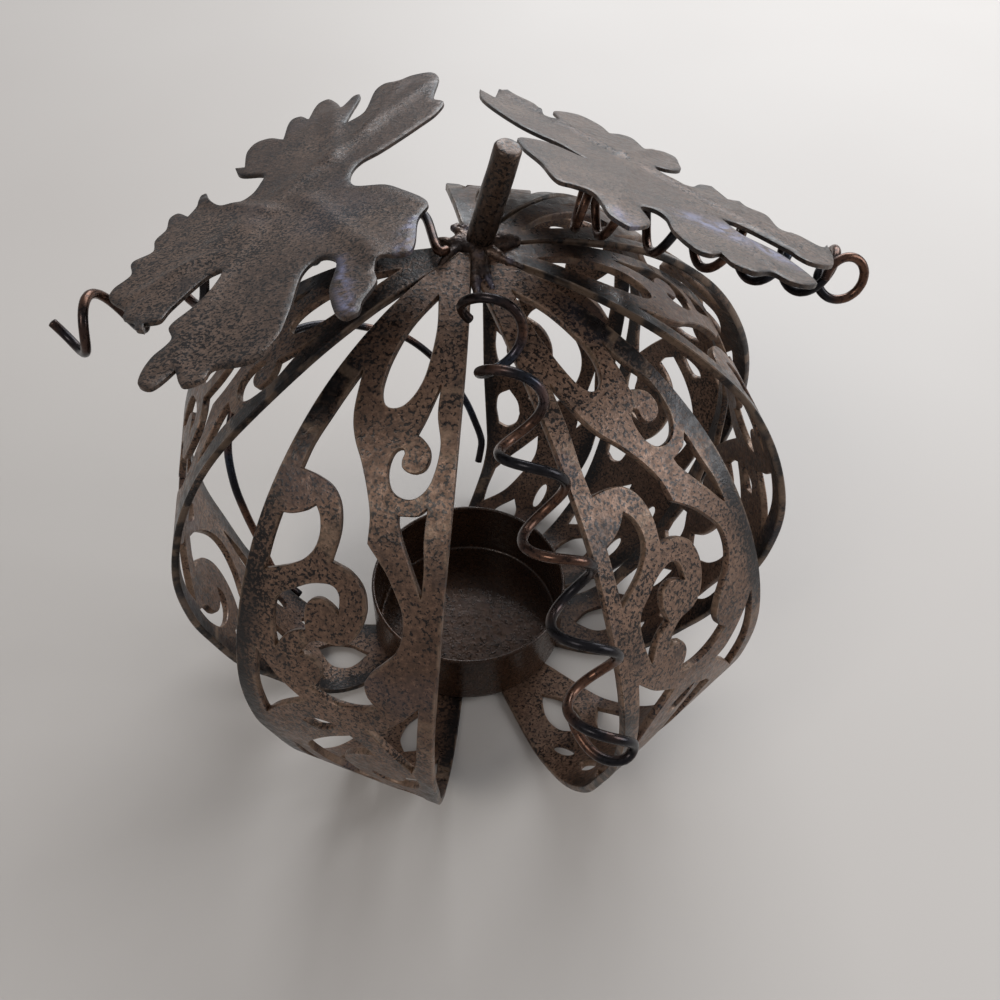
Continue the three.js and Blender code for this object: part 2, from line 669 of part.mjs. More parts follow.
// Points beside the edge of a gore, a wire's radius and two gaps away from it
function footPoints(name) {
  const curve = meridianPath();
  const lines = bendLines(curve);
  const place = gorePlace(GORES.find((gore) => gore.name === name), curve, lines);
  const { side, from } = ARCH_FEET[name];
  return from.map((s) => {
    const beside = goreHalfWidth(s, curve.getLength()) + 2 * PIECE_GAP + ARCH_WIRE_RADIUS;
    return place(new THREE.Vector2(s, side * beside), 0.5);
  });
}

function archCentres() {
  const free = ARCH.map(([azimuth, radius, height]) => {
    const angle = THREE.MathUtils.degToRad(azimuth);
    return new THREE.Vector3(radius * Math.sin(angle), -radius * Math.cos(angle), height);
  });
  const points = [...footPoints('gore_back'), ...free, ...footPoints('gore_left')];
  return new THREE.CatmullRomCurve3(points, false, 'centripetal').getSpacedPoints(30);
}

function finish(color, roughness, metalness) {
  return { color, roughness, metalness };
}

const PAINT = finish(0x6b4a3c, 0.55, 0.6);
const CUP_PAINT = finish(0x5a3a2c, 0.5, 0.6);
const WIRE_PAINT = finish(0x7a4f3a, 0.42, 0.7);
const LEAF_PAINT = finish(0x644537, 0.6, 0.55);
const STEM_PAINT = finish(0x5e463c, 0.5, 0.65);
const WELD_STEEL = finish(0x6f6a6c, 0.4, 0.85);

function piece(name, geometry, look) {
  const mesh = new THREE.Mesh(geometry, new THREE.MeshStandardMaterial(look));
  mesh.name = name;
  return mesh;
}

function buildHolder() {
  const holder = new THREE.Group();
  holder.name = 'pumpkin_tealight_holder';
  const openings = goreOpenings();
  for (const gore of GORES) {
    holder.add(piece(gore.name, goreGeometry(gore, openings), PAINT));
  }
  holder.add(piece('tealight_cup', cupGeometry(), CUP_PAINT));
  holder.add(piece('hub_weld', weldGeometry(), WELD_STEEL));
  holder.add(piece('stem', stemGeometry(), STEM_PAINT));
  holder.add(piece('leaf_left', leafGeometry(LEFT_LEAF), LEAF_PAINT));
  holder.add(piece('leaf_right', leafGeometry(RIGHT_LEAF), LEAF_PAINT));
  for (const tendril of TENDRILS) {
    const centres = tendrilCentres(tendril.stretches);
    console.log(tendril.name, 'least gap to itself', leastGap(centres).toFixed(2), 'mm');
    holder.add(piece(tendril.name, wireGeometry(centres, WIRE_RADIUS), WIRE_PAINT));
  }
  holder.add(piece('door_arch', wireGeometry(archCentres(), ARCH_WIRE_RADIUS), WIRE_PAINT));
  return onOwnCentre(holder);
}

// Moves all pieces together so that the whole stands centred over the origin
function onOwnCentre(group) {
  const centre = new THREE.Box3().setFromObject(group, true).getCenter(new THREE.Vector3());
  for (const mesh of group.children) {
    mesh.geometry.translate(-centre.x, -centre.y, 0);
  }
  return group;
}

export default buildHolder();
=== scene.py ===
import math

import bmesh
import bpy
import numpy as np
from mathutils import Matrix, Vector
from mathutils.geometry import delaunay_2d_cdt

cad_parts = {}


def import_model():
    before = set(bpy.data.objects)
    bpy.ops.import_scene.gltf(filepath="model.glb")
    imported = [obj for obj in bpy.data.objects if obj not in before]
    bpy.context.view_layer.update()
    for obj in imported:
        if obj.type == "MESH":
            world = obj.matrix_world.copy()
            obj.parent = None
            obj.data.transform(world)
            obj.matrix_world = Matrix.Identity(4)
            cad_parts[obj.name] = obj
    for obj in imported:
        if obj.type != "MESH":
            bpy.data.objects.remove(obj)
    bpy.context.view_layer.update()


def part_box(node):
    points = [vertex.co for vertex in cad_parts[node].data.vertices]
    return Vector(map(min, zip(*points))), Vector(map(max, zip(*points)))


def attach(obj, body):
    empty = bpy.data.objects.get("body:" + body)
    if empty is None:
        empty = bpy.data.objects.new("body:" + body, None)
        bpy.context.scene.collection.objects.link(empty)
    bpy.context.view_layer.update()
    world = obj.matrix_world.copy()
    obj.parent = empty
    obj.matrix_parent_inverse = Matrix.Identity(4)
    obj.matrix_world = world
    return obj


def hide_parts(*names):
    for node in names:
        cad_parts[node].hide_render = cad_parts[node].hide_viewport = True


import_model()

# Pumpkin tealight holder. Shapes are worked out in millimetres around the cage's upright axis,
# which stands where the cup's centre is, and are stored in metres. Azimuths run from the front to
# the right.
MM = 0.001
cup_low, cup_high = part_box("tealight_cup")
AXIS = np.array([(cup_low[0] + cup_high[0]) / 2, (cup_low[1] + cup_high[1]) / 2, 0.0])

SHEET = 1.3
LEAF_SHEET = 0.7
PIECE_GAP = 0.3

GORE_HALF_WIDTH = 16.9
GORE_WIDEST_AT = 79.0
GORE_FOOT_HALF_WIDTH = 4.8
# Half width at the hub, and where the sheet starts there. Three gores are broad and meet under the
# stem; the other three are narrow.
BROAD_TOP = (2.3, -2.6)
NARROW_TOP = (1.0, -1.0)
BROAD_GORES = ("gore_front_left", "gore_front_right", "gore_left")
# radius and height of a gore's outer side, from the hub to the foot
MERIDIAN = [
    (4, 103.5), (17.4, 101.2), (32, 95.2), (44.8, 84.9), (53.6, 71.6), (58.4, 57.4),
    (58.6, 44.2), (56.2, 33), (52.2, 19.6), (46, 8.8), (38.8, 2.6), (31, 0), (15, 0),
]
# azimuth, twist (degrees), bulge (share of the radius), sway (mm)
GORES = {
    "gore_front_left": (-21.6, -0.9, -0.016, 0.0),
    "gore_front_right": (37.9, 3.3, 0.017, 0.0),
    "gore_right": (86.7, 12.5, -0.032, 5.6),
    "gore_back_right": (128.4, 0.0, 0.02, -2.2),
    "gore_back": (168.2, 3.0, -0.005, -8.6),
    "gore_left": (291.2, -14.0, -0.052, -8.4),
}
# how far from the hub the sway grows and fades again
SWAY_GROWS = (25, 70)
SWAY_FADES = (122, 155)

# Where painted shade darkens a gore's rims: side, from and to along it
BOTH_RIMS_SHADED = [(-1, 0, 160), (1, 0, 160)]
SHADED_RIMS = {
    "gore_front_left": [(-1, 8, 118), (1, 96, 160)],
    "gore_front_right": [(-1, 72, 124), (1, 14, 76)],
}
# the painted shade fades this far in from the rim, and over this length at its ends
RIM_SHADE_FADE = (4.2, 1.2)
RIM_SHADE_END_FADE = 6

# The openings pierced through a gore, as stretches that meet in corners: along it, then across it
OPENINGS = {
    "teardrop": [
        [(7.2, -0.2), (12.8, 1.8), (17.9, 2.8), (21.9, 3.1), (25, 2.5), (26.8, 1.4), (27.4, 0),
         (27, -1.1), (25.5, -2), (21.9, -2.5), (17.9, -2.4), (13.8, -1.9), (7.2, -0.2)],
    ],
    "hook": [
        [(21.9, 5.9), (26.5, 7), (30.6, 8.8), (34.7, 9.2), (37.2, 8.8), (39, 7.5), (39.5, 5.8),
         (39, 4), (37.2, 2.8), (34.7, 2.5), (33.2, 2.9), (32.7, 3.7), (33.2, 4.2), (34, 4.1),
         (35.2, 4.4), (35.7, 5.3), (35.6, 6.6), (34.7, 7.7), (33.2, 8), (31.6, 7.5),
         (30.6, 6.4), (30, 5.1)],
        [(30, 5.1), (27.6, 5.5), (21.9, 5.9)],
    ],
    "thorn": [
        [(39.9, 9.7), (44.4, 10.4), (48.5, 11.4), (52.6, 11.9)],
        [(52.6, 11.9), (48.5, 9.3), (45.4, 7.3), (43.1, 6.1), (42.1, 5.9)],
        [(42.1, 5.9), (41.3, 8.6), (39.9, 9.7)],
    ],
    "middle": [
        [(23, -6), (30.1, -4.9), (33.2, -3.6), (36.2, -1.6), (40.1, 0.5), (43.4, 1.8), (47.3, 2.4)],
        [(47.3, 2.4), (50.5, 5.9), (53.1, 7.9), (56, 9.6), (60, 10.1), (62.8, 9.4), (65.3, 7.8),
         (67.9, 6), (70.2, 5.2), (72.4, 5.8), (74.1, 7.3)],
        [(74.1, 7.3), (75.6, 5), (76.5, 2), (76.4, -0.9), (75.1, -4)],
        [(75.1, -4), (73.5, -2.6), (71.4, -2), (69.4, -2.8), (68.5, -4.2), (68.5, -5.7)],
        [(68.5, -5.7), (66, -4.2), (65, -2.4)],
        [(65, -2.4), (64.7, 0.6), (63.3, 2.5), (60.2, 3.8), (57, 4), (54, 2.9), (52.2, 0.6),
         (51.5, -2.4)],
        [(51.5, -2.4), (47.4, -2), (44.9, -2.3), (42.5, -3.2), (40.7, -4.9), (39.8, -7.5),
         (39.5, -10)],
        [(39.5, -10), (35.7, -9.4), (30.6, -8), (23, -6)],
    ],
    "bud": [
        [(44.1, -6.5), (45.4, -5.6), (48, -5), (50.5, -5.4), (52.6, -6.8), (54.1, -8.8),
         (56, -12.6)],
        [(56, -12.6), (51, -12.1), (46.7, -11.5)],
        [(46.7, -11.5), (46.4, -9.8), (45.5, -8), (44.1, -6.5)],
    ],
    "spiral": [
        [(59.3, 0), (58.3, -1.5), (57.8, -3.2), (58.6, -4.8), (60.5, -5.5), (64, -5)],
        [(64, -5), (64.8, -6.8), (66.3, -8.5), (68.6, -9.8)],
        [(68.6, -9.8), (65.3, -10.4), (61.2, -10.4), (59.2, -9.6), (57.6, -7.5), (56.2, -5.5),
         (55.4, -3.5), (55.2, -1.6), (56.1, -0.5), (59.3, 0)],
    ],
    "right_sail": [
        [(71.1, 14.2), (80.3, 14.2), (86, 13.8), (90.6, 12.8)],
        [(90.6, 12.8), (87.8, 11), (85.4, 9.4), (82.9, 7.5), (80.5, 5.5)],
        [(80.5, 5.5), (79.6, 7.8), (77.8, 9.6), (74.7, 12), (71.1, 14.2)],
    ],
    "left_sail": [
        [(78.5, -5.2), (82.9, -10.1), (87, -13)],
        [(87, -13), (78, -13.4), (70.6, -13)],
        [(70.6, -13), (74.7, -9.8), (76.3, -8), (78.5, -5.2)],
    ],
    "drop": [
        [(82.4, 0.4), (84.3, -0.9), (86, -3.5), (84.9, -5.9)],
        [(84.9, -5.9), (83.4, -4.8), (82.6, -2.6), (82.4, 0.4)],
    ],
    "comma": [
        [(84.5, 2.5), (88, -1.6), (92.5, -5.2), (98, -7.8), (103.5, -7.8), (108.6, -5.6),
         (112.6, -1.6)],
        [(112.6, -1.6), (112.8, 1.6), (110.6, 4)],
        [(110.6, 4), (107.4, 1.4), (103, -0.4), (98, -0.8), (93.8, 0.6), (90.8, 3), (88.8, 6.2)],
        [(88.8, 6.2), (86.6, 5), (84.5, 2.5)],
    ],
    "low_hook": [
        [(93.2, 13.3), (98, 13.2), (102.4, 11.8), (105, 8.8), (105, 5.6), (102.8, 3.9), (100, 4)],
        [(100, 4), (101.6, 6), (101.4, 8.6), (99, 10.3), (95.8, 10.8), (93.2, 13.3)],
    ],
    "rim_leaf": [
        [(109, 9), (110.6, 11.4), (114, 11.9), (118.4, 10.9)],
        [(118.4, 10.9), (119.2, 8.6), (118, 6.6), (115.4, 5.9)],
        [(115.4, 5.9), (112.2, 6.7), (109, 9)],
    ],
    "low_sail": [
        [(101.5, -11.6), (107, -10.5), (113, -9.3), (118, -8.8)],
        [(118, -8.8), (115, -11), (110, -12.1), (101.5, -11.6)],
    ],
    "under_leaf": [
        [(121, 0.6), (124.2, 3.6), (127.6, 6.6), (131, 8.8)],
        [(131, 8.8), (135.6, 8.4), (140, 7.2)],
        [(140, 7.2), (136.6, 3.8), (132, 2), (126.6, 0.4), (121, 0.6)],
    ],
    "foot": [
        [(138.5, 0), (142, 3.2), (147, 3.3), (151.6, 0.4)],
        [(151.6, 0.4), (147, -2.4), (142.4, -2.4), (138.5, 0)],
    ],
}
# round openings: place, half length, half width and turn
ELLIPSES = [(125.5, -7.3, 3.6, 1.3, 0.1), (137, -5.8, 3.2, 1.1, -0.1)]

# The leaves' border, as flat points along the tip's direction and across, and on it the veins
# (from, to, height, width), the curled places (x, y, radius, lift) and the places of painted
# bluish highlight (from, to, width)
LEAVES = {
    "leaf_left": {
        "centre": (-32.5, -0.76, 108.5),
        "normal": (-0.207, 0.142, 0.968),
        "tip": (-0.768, -0.637, -0.071),
        "veins": [
            ((-50, -22), (22, 8), 0.4, 1.7), ((-10, 0), (-4, 30), 0.4, 1.3),
            ((0, 2), (26, 26), 0.4, 1.3), ((-20, -8), (-34, -30), 0.4, 1.3),
            ((-4, 0), (0, -16), 0.4, 1.1), ((8, 5), (22, 4), 0.35, 1.0),
            ((-30, -13), (-48, -28), 0.35, 1.0),
        ],
        "curl": [(24, 31, 8, -0.9), (-38, -36, 8, -0.8), (24, 6, 6, -0.5), (-8, 24, 5, 0.5)],
        "painted_highlight": [((-14, 24), (-7, 31), 0.9), ((-1, 24), (6, 37), 0.8)],
        "border": [
            (-54.1, -26.1), (-53.2, -22.4), (-45.5, -13.5), (-45.3, -10.4), (-41.4, -7.3),
            (-36.6, -5.7), (-26.5, -3.2), (-22.6, -2.8), (-19.5, -1), (-17, 2.2), (-16.4, 4.8),
            (-19, 9.2), (-19.3, 12.8), (-18.4, 21.1), (-14.7, 23.8), (-7.6, 31.2), (-4.5, 29),
            (-2.4, 30.6), (-0.7, 33.6), (3.3, 36.3), (5.4, 38.3), (7, 37.9), (7.1, 36), (5.7, 32.4),
            (4.1, 29.6), (-0.5, 24.1), (-0.8, 22.6), (-0.2, 20.9), (1.4, 20.8), (3.8, 22.1),
            (10.6, 29.9), (14.6, 33.7), (18.9, 35), (22.8, 31.4), (24.5, 32.6), (26.9, 31.9),
            (26, 27.7), (30, 29.1), (30.6, 27.3), (29.5, 25.2), (26.8, 22.7), (23.3, 21.2),
            (21.9, 17.8), (15.5, 15.6), (10.8, 11.7), (10.3, 10.4), (11.4, 9.6), (19.6, 13.2),
            (22.2, 15), (23.8, 13.5), (24.7, 15.6), (25.2, 14.2), (24.4, 11.5), (24.9, 8.5),
            (23.8, 6.5), (23.8, 0.9), (22.4, -0.9), (19, -2.3), (17, -6.3), (13.7, -6.4),
            (11.5, -10.1), (8.9, -11.9), (6.2, -15.9), (4.8, -16), (4.4, -13.1), (1.5, -15.6),
            (-0.8, -18.8), (-1.7, -18.7), (-0.3, -13.7), (-0.6, -10.7), (-2.2, -9.2), (-5.3, -9.8),
            (-8.7, -12.6), (-10.7, -15.2), (-8.6, -19.5), (-9.7, -23.5), (-10.8, -22.1),
            (-15.1, -28.8), (-18, -30.6), (-20.2, -29.7), (-21.1, -26.5), (-27.7, -34.4),
            (-29.3, -34.1), (-29.1, -30.9), (-35.7, -38.1), (-37.8, -38.1), (-37.5, -34.7),
            (-35.8, -30.1), (-41, -33.6), (-41.8, -33), (-30.8, -20.7), (-35.2, -21.7),
            (-44.6, -30.9), (-47, -31.3), (-48.7, -29.4), (-51.5, -28.8),
        ],
    },
    "leaf_right": {
        "centre": (32.35, 9.65, 109.5),
        "normal": (0.269, 0.297, 0.916),
        "tip": (0.7, -0.713, 0.026),
        "veins": [
            ((-48, 12), (26, -6), 0.55, 1.3), ((-8, 0), (10, -30), 0.45, 1.2),
            ((-12, 2), (-16, 20), 0.45, 1.2), ((8, -6), (30, -22), 0.45, 1.1),
            ((12, 2), (28, -2), 0.3, 1.0),
        ],
        "curl": [(14, -32, 7, -0.7), (28, -2, 7, -0.6), (-50, 17, 7, -0.5)],
        "painted_highlight": [((15, -16.5), (31, -15), 2.6), ((12, -31), (16, -33), 1.2)],
        "border": [
            (-39.4, -2.7), (-25.4, -8.8), (-20.5, -9.3), (-16.4, -9), (-9, -11.2), (-15.3, -12),
            (-17.1, -13.4), (-17.7, -18), (-13.2, -22.3), (-7, -25.7), (1.1, -31.1), (2.4, -29.4),
            (4.6, -28.2), (11.3, -32.8), (15.3, -33.8), (14.7, -28.1), (9.9, -23.4), (10.9, -21.6),
            (13.1, -22.2), (17.8, -26.8), (24.6, -31.3), (25.6, -30.4), (25.5, -27.6),
            (28.7, -29.8), (31.1, -29), (31.9, -24.9), (34.3, -25.2), (35.7, -23.6), (35.8, -20),
            (30.1, -15.1), (26.9, -13.4), (24.3, -12.9), (19.3, -12.9), (15.1, -9.3), (16.2, -7.3),
            (25.7, -7.6), (29.7, -8.6), (30.9, -4), (28.9, 1.6), (25.2, 7.2), (25.4, 4.5),
            (21.2, 4.5), (19.2, 2.8), (13.3, 8.4), (10.4, 7.8), (7.8, 9.7), (7, 7), (1.1, 11.7),
            (0.4, 8.8), (1.5, 3.6), (-1.9, 2.7), (-7.7, 7.2), (-6.5, 9.3), (-6.4, 13.1),
            (-10.3, 19.1), (-14.4, 23.7), (-16.9, 23.4), (-17.2, 18), (-24.3, 23.2), (-25.7, 21.8),
            (-25.7, 18.3), (-30.7, 21.9), (-36.6, 23.1), (-37.8, 20.6), (-37.4, 15.6),
            (-34.4, 12.8), (-28.5, 7.5), (-32.6, 6.9), (-38.2, 12.2), (-43, 15.5), (-52.2, 18.9),
            (-51.4, 16.1), (-42, 3.4), (-46.9, 4.6),
        ],
    },
}

# The coiled wires, as stretches: a list of points, or a coil of (axis, side, radii, turns, start
# angle, sense)
WIRE_RADIUS = 0.75
TENDRILS = {
    "tendril_front": [
        [(0.5, -16.2, 102.5), (-0.8, -16.3, 103.7)],
        ([(2.9, -15.4, 105.5), (6.5, -31.9, 101.2), (10.3, -44.3, 91.9), (15.7, -56.3, 80.5),
          (18.4, -67.8, 69.6)], (1, 0.2, 0), (4.1, 4.4), 5.5, math.pi, -1),
        [(22.3, -68.5, 68.6), (19.9, -68.9, 68.2), (17.3, -68, 68.5), (15.7, -66.1, 69.1),
         (14.6, -64, 69.5), (14.3, -61.9, 69.5)],
    ],
    "tendril_right": [
        ([(17.9, 7.4, 107.2), (18.8, 7.2, 107)], (0, -1, 0), (4.3, 4.3), 1, 3.74, -1),
        ([(18.8, 7.2, 107), (37.4, 2.4, 103.6), (59.8, 3.4, 96.6)], (0, -1, 0), (4.3, 4.3), 5, 3.74,
         -1),
        ([(60.6, 1.4, 97.6), (60.9, -1, 98.6)], (-1, 0, 0), (4, 3.8), 1, 0, 1),
    ],
    "tendril_left": [
        [(-3, -1.2, 104.3), (-4.2, -3.2, 104.7), (-5.2, 0.5, 105.2), (-6.4, 6.2, 105.6)],
        ([(-10, 4.6, 107.3), (-22, 2, 104.6), (-36, -3, 101.9), (-62.2, -12.8, 96.6)],
         (0, -1, 0), (3.1, 4.2), 6, math.pi, -1),
    ],
}

ARCH_RADIUS = 0.9
# azimuth, radius and height of the arch's points between the two rims that carry its feet
ARCH = [
    (178.2, 50.9, 17), (180.8, 53, 21.8), (187.6, 56.3, 32), (195.6, 58, 40.2), (203.4, 58.6, 44.4),
    (210.4, 58.9, 48), (219, 59.1, 50.8), (229, 59, 50.8), (238.5, 58.4, 46.2), (244.4, 57.7, 41),
    (247.8, 57.1, 36.3), (251.1, 55.2, 29.2), (253, 53, 22.6), (254.5, 50.8, 17),
]
# gore, which of its rims, and where along it the foot lies
ARCH_FEET = [("gore_back", 1, (130, 127, 124)), ("gore_left", -1, (126, 130, 134))]

CUP_RADIUS = 21.5
CUP_HEIGHT = 15.5
CUP_WALL = 0.8
CUP_CORNER = 1.6

STEM_RADIUS = 2.15
STEM_FOOT = np.array([1.2, 1.3, 101.2])
STEM_TOP = np.array([6, -0.8, 121.2])

# The weld's beads on top of the gores: x, y, radius, and the height over the gores' upper side
WELD_ROWS = [
    [(1.7, -1.9, 1.25, 0.5), (1.5, -3.6, 1.05, 0.2), (1.3, -5.6, 0.8, 0), (1.3, -7.6, 0.85, -0.1),
     (1.5, -10.3, 0.6, -0.2)],
    [(2.1, -2.2, 0.7, 1.1), (2.3, -4.4, 0.55, 0.7)],
    [(2.6, -3.4, 0.9, 0.1), (2.9, -5.8, 0.75, 0), (3.8, -8.6, 0.5, -0.1)],
    [(3.2, 0.7, 1.5, 0.3), (5.2, 2, 1.75, 0.1), (7.7, 2.9, 1.1, 0)],
    [(3.6, -0.9, 1.1, 0.2), (5.8, -2.3, 0.8, 0), (8.4, -3.5, 0.5, -0.1)],
    [(2.6, 3.2, 1.2, 0.4), (3.6, 5.1, 0.9, 0.2), (4.7, 7.2, 0.6, 0)],
    [(0.7, 3.4, 1.2, 0.5), (-0.3, 5.6, 0.8, 0.2), (-0.6, 7.4, 0.5, 0)],
    [(0, 0.9, 1.2, 0.4), (-1.9, -0.6, 0.95, 0.1), (-4.1, -3.7, 0.55, 0)],
    [(-0.7, 2.1, 1.2, 0.6), (-2.3, 0.5, 0.9, 0.6), (-3.4, 1.1, 0.85, 0.5), (-4.7, 1.9, 0.6, 0.4)],
    [(-1.2, 3, 0.8, 1.1), (-2.2, 4.1, 0.55, 1.2), (-1.5, 4.7, 0.5, 1.3)],
]
WELD_STEP = 0.45
WELD_GRAIN = 0.32
# the ring of drops around the stem's foot
STEM_WELD_RADIUS = 2.1
STEM_WELD_HEIGHT = 103.9


# Curves and outlines

OUTLINE_STEP = 0.45
LOBE_STEP = 0.5
# a border turns sharply where the cosine between its two sides is under this
SHARP_TURN = -0.1
# distances are worked out for this many points at a time
POINTS_AT_A_TIME = 2000


def smooth(points, step):
    """Points every `step` along a centripetal curve through the given points."""
    p = np.array(points, float)
    n = len(p)
    if n == 2:
        count = max(1, round(float(np.linalg.norm(p[1] - p[0])) / step))
        return np.linspace(p[0], p[1], count + 1)
    out = []
    for i in range(n - 1):
        p1, p2 = p[i], p[i + 1]
        p0 = p[i - 1] if i > 0 else 2 * p1 - p2
        p3 = p[i + 2] if i + 2 < n else 2 * p2 - p1
        d0, d1, d2 = (max(1e-6, float(np.linalg.norm(b - a)) ** 0.5)
                      for a, b in ((p0, p1), (p1, p2), (p2, p3)))
        m1 = (p2 - p1) + d1 * ((p1 - p0) / d0 - (p2 - p0) / (d0 + d1))
        m2 = (p2 - p1) + d1 * ((p3 - p2) / d2 - (p3 - p1) / (d1 + d2))
        count = max(1, round(float(np.linalg.norm(p2 - p1)) / step))
        u = (np.arange(count) / count)[:, None]
        out.append((2 * u**3 - 3 * u**2 + 1) * p1 + (u**3 - 2 * u**2 + u) * m1
                   + (-2 * u**3 + 3 * u**2) * p2 + (u**3 - u**2) * m2)
    return np.concatenate(out + [p[-1:]])


def lengths(points):
    """How far along the points each one lies."""
    return np.r_[0, np.cumsum(np.linalg.norm(np.diff(points, axis=0), axis=1))]


def sample(x, places, rows):
    """The rows read at x, where `places` says where each row lies."""
    return np.stack([np.interp(x, places, column) for column in rows.T], -1)


def around(count):
    """Angles spread evenly over one turn."""
    return np.arange(count) / count * 2 * math.pi


def unit(v):
    v = np.array(v, float)
    return v / np.linalg.norm(v)


def square_to(v, axis):
    """The unit vector closest to v at a right angle to the unit vector `axis`."""
    v = np.array(v, float)
    return unit(v - axis * v.dot(axis))


def smoothstep(x, a, b):
    u = np.clip((x - a) / (b - a), 0, 1)
    return u * u * (3 - 2 * u)


def bell(distance, width):
    return np.exp(-(distance / width) ** 2)


def off_line(points, a, b):
    """Distance of each point to the straight stretch from a to b."""
    a, b = np.array(a, float), np.array(b, float)
    u = np.clip((points - a) @ (b - a) / (b - a).dot(b - a), 0, 1)
    return np.linalg.norm(points - a - u[:, None] * (b - a), axis=1)


def cornered(stretches, step):
    """A closed outline from smooth stretches that meet in corners."""
    return np.concatenate([smooth(stretch, step)[:-1] for stretch in stretches])


def rounded(border):
    """The outline with its lobes round and its sharp turns kept."""
    n = len(border)
    a = border - np.roll(border, 1, axis=0)
    b = np.roll(border, -1, axis=0) - border
    cos = (a * b).sum(1) / (np.linalg.norm(a, axis=1) * np.linalg.norm(b, axis=1))
    corners = [i for i in range(n) if cos[i] < SHARP_TURN]
    stretches = []
    for start, end in zip(corners, corners[1:] + [corners[0] + n]):
        stretches.append([border[i % n] for i in range(start, end + 1)])
    return cornered(stretches, LOBE_STEP)


def wound(loop, anticlockwise):
    """The loop, turned round where it runs the other way."""
    x, y = loop.T
    area = np.sum(x * np.roll(y, -1) - np.roll(x, -1) * y)
    return loop if (area > 0) == anticlockwise else loop[::-1]


def inset(loop, distance):
    """The loop moved to its left."""
    a = loop - np.roll(loop, 1, axis=0)
    b = np.roll(loop, -1, axis=0) - loop
    a /= np.maximum(np.linalg.norm(a, axis=1), 1e-9)[:, None]
    b /= np.maximum(np.linalg.norm(b, axis=1), 1e-9)[:, None]
    left = np.stack([-(a + b)[:, 1], (a + b)[:, 0]], 1)
    size = np.maximum((left**2).sum(1), 1.2)[:, None]
    return loop + 2 * distance * left / size


def within(points, loop):
    """Which points lie inside the loop."""
    x, y = points[:, 0:1], points[:, 1:2]
    a, b = loop, np.roll(loop, -1, axis=0)
    with np.errstate(divide="ignore", invalid="ignore"):
        at = a[:, 0] + (b[:, 0] - a[:, 0]) * (y - a[:, 1]) / (b[:, 1] - a[:, 1])
    hits = ((a[:, 1] > y) != (b[:, 1] > y)) & (x < at)
    return hits.sum(1) % 2 == 1


def on_sheet(points, loops):
    """Which points lie inside the first loop and outside all others."""
    keep = within(points, loops[0])
    for hole in loops[1:]:
        keep &= ~within(points, hole)
    return keep


def distance_to(points, loops):
    """Distance of each point to the nearest loop vertex."""
    q = np.concatenate(loops)
    best = np.empty(len(points))
    for i in range(0, len(points), POINTS_AT_A_TIME):
        part = slice(i, i + POINTS_AT_A_TIME)
        best[part] = np.sqrt(((points[part, None] - q[None]) ** 2).sum(2).min(1))
    return best


# Meshes

# points closer than this become one
RIM_WELD = 0.02 * MM
POLE_WELD = 0.001 * MM


def world(points):
    return np.asarray(points) * MM + AXIS


def placed(name, data):
    obj = bpy.data.objects.new(name, data)
    bpy.context.scene.collection.objects.link(obj)
    return obj


def finished(name, mesh, sharp, weld=0.0):
    """The mesh as an object, welded and shaded smooth up to the sharp angle."""
    bm = bmesh.new()
    bm.from_mesh(mesh)
    if weld:
        bmesh.ops.remove_doubles(bm, verts=bm.verts, dist=weld)
    bmesh.ops.recalc_face_normals(bm, faces=bm.faces)
    bm.to_mesh(mesh)
    bm.free()
    mesh.shade_smooth()
    mesh.set_sharp_from_angle(angle=math.radians(sharp))
    return placed(name, mesh)


def ringed(name, rings, sharp, weld=0.0, capped=False):
    """A closed body from rings of points; the end rings are poles, or are capped."""
    sides = len(rings[0])
    k = np.arange(sides)
    m = (k + 1) % sides
    faces = []
    for i in range(len(rings) - 1):
        a, b = i * sides, (i + 1) * sides
        faces += np.stack([a + k, a + m, b + m, b + k], 1).tolist()
    if capped:
        faces.append(list(range(sides))[::-1])
        faces.append([(len(rings) - 1) * sides + i for i in range(sides)])
    mesh = bpy.data.meshes.new(name)
    mesh.from_pydata(world(np.concatenate(rings)).tolist(), [], faces)
    return finished(name, mesh, sharp, weld)


def add_piece(obj, node, material):
    obj.data.materials.clear()
    obj.data.materials.append(material)
    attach(obj, "root")
    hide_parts(node)


# Sheets

RIM_CHAMFER = 0.16
# how deep the rings of points on a cut rim lie, as shares of the sheet
RIM_DEPTHS = (0.16, 0.5, 0.84)


def flat_sheet(border, holes, grid):
    """The flat pattern of a cut sheet: its points, triangles, cut loops and the faces' loops."""
    loops = [wound(border, True)] + [wound(h, False) for h in holes]
    faces_2d = [inset(loop, RIM_CHAMFER) for loop in loops]
    lo, hi = faces_2d[0].min(0), faces_2d[0].max(0)
    xs = np.arange(lo[0] + grid[0] / 2, hi[0], grid[0])
    ys = np.arange(lo[1] + grid[1] / 2, hi[1], grid[1])
    inner = np.array([(x, y) for x in xs for y in ys])
    inner = inner[on_sheet(inner, faces_2d)]
    inner = inner[distance_to(inner, faces_2d) > 0.5 * min(grid)]
    points = np.concatenate(faces_2d + [inner])
    edges = []
    start = 0
    for loop in faces_2d:
        n = len(loop)
        edges += [(start + i, start + (i + 1) % n) for i in range(n)]
        start += n
    verts, _, tris, _, _, _ = delaunay_2d_cdt([Vector(p) for p in points], edges, [], 0, 1e-5)
    verts = np.array([(v.x, v.y) for v in verts])
    tris = np.array([t for t in tris if len(t) == 3])
    tris = tris[on_sheet(verts[tris].mean(1), faces_2d)]
    a, b, c = (verts[tris[:, k]] for k in range(3))
    turn = (b[:, 0] - a[:, 0]) * (c[:, 1] - a[:, 1]) - (c[:, 0] - a[:, 0]) * (b[:, 1] - a[:, 1])
    tris[turn < 0] = tris[turn < 0][:, ::-1]
    return verts, tris, loops, faces_2d


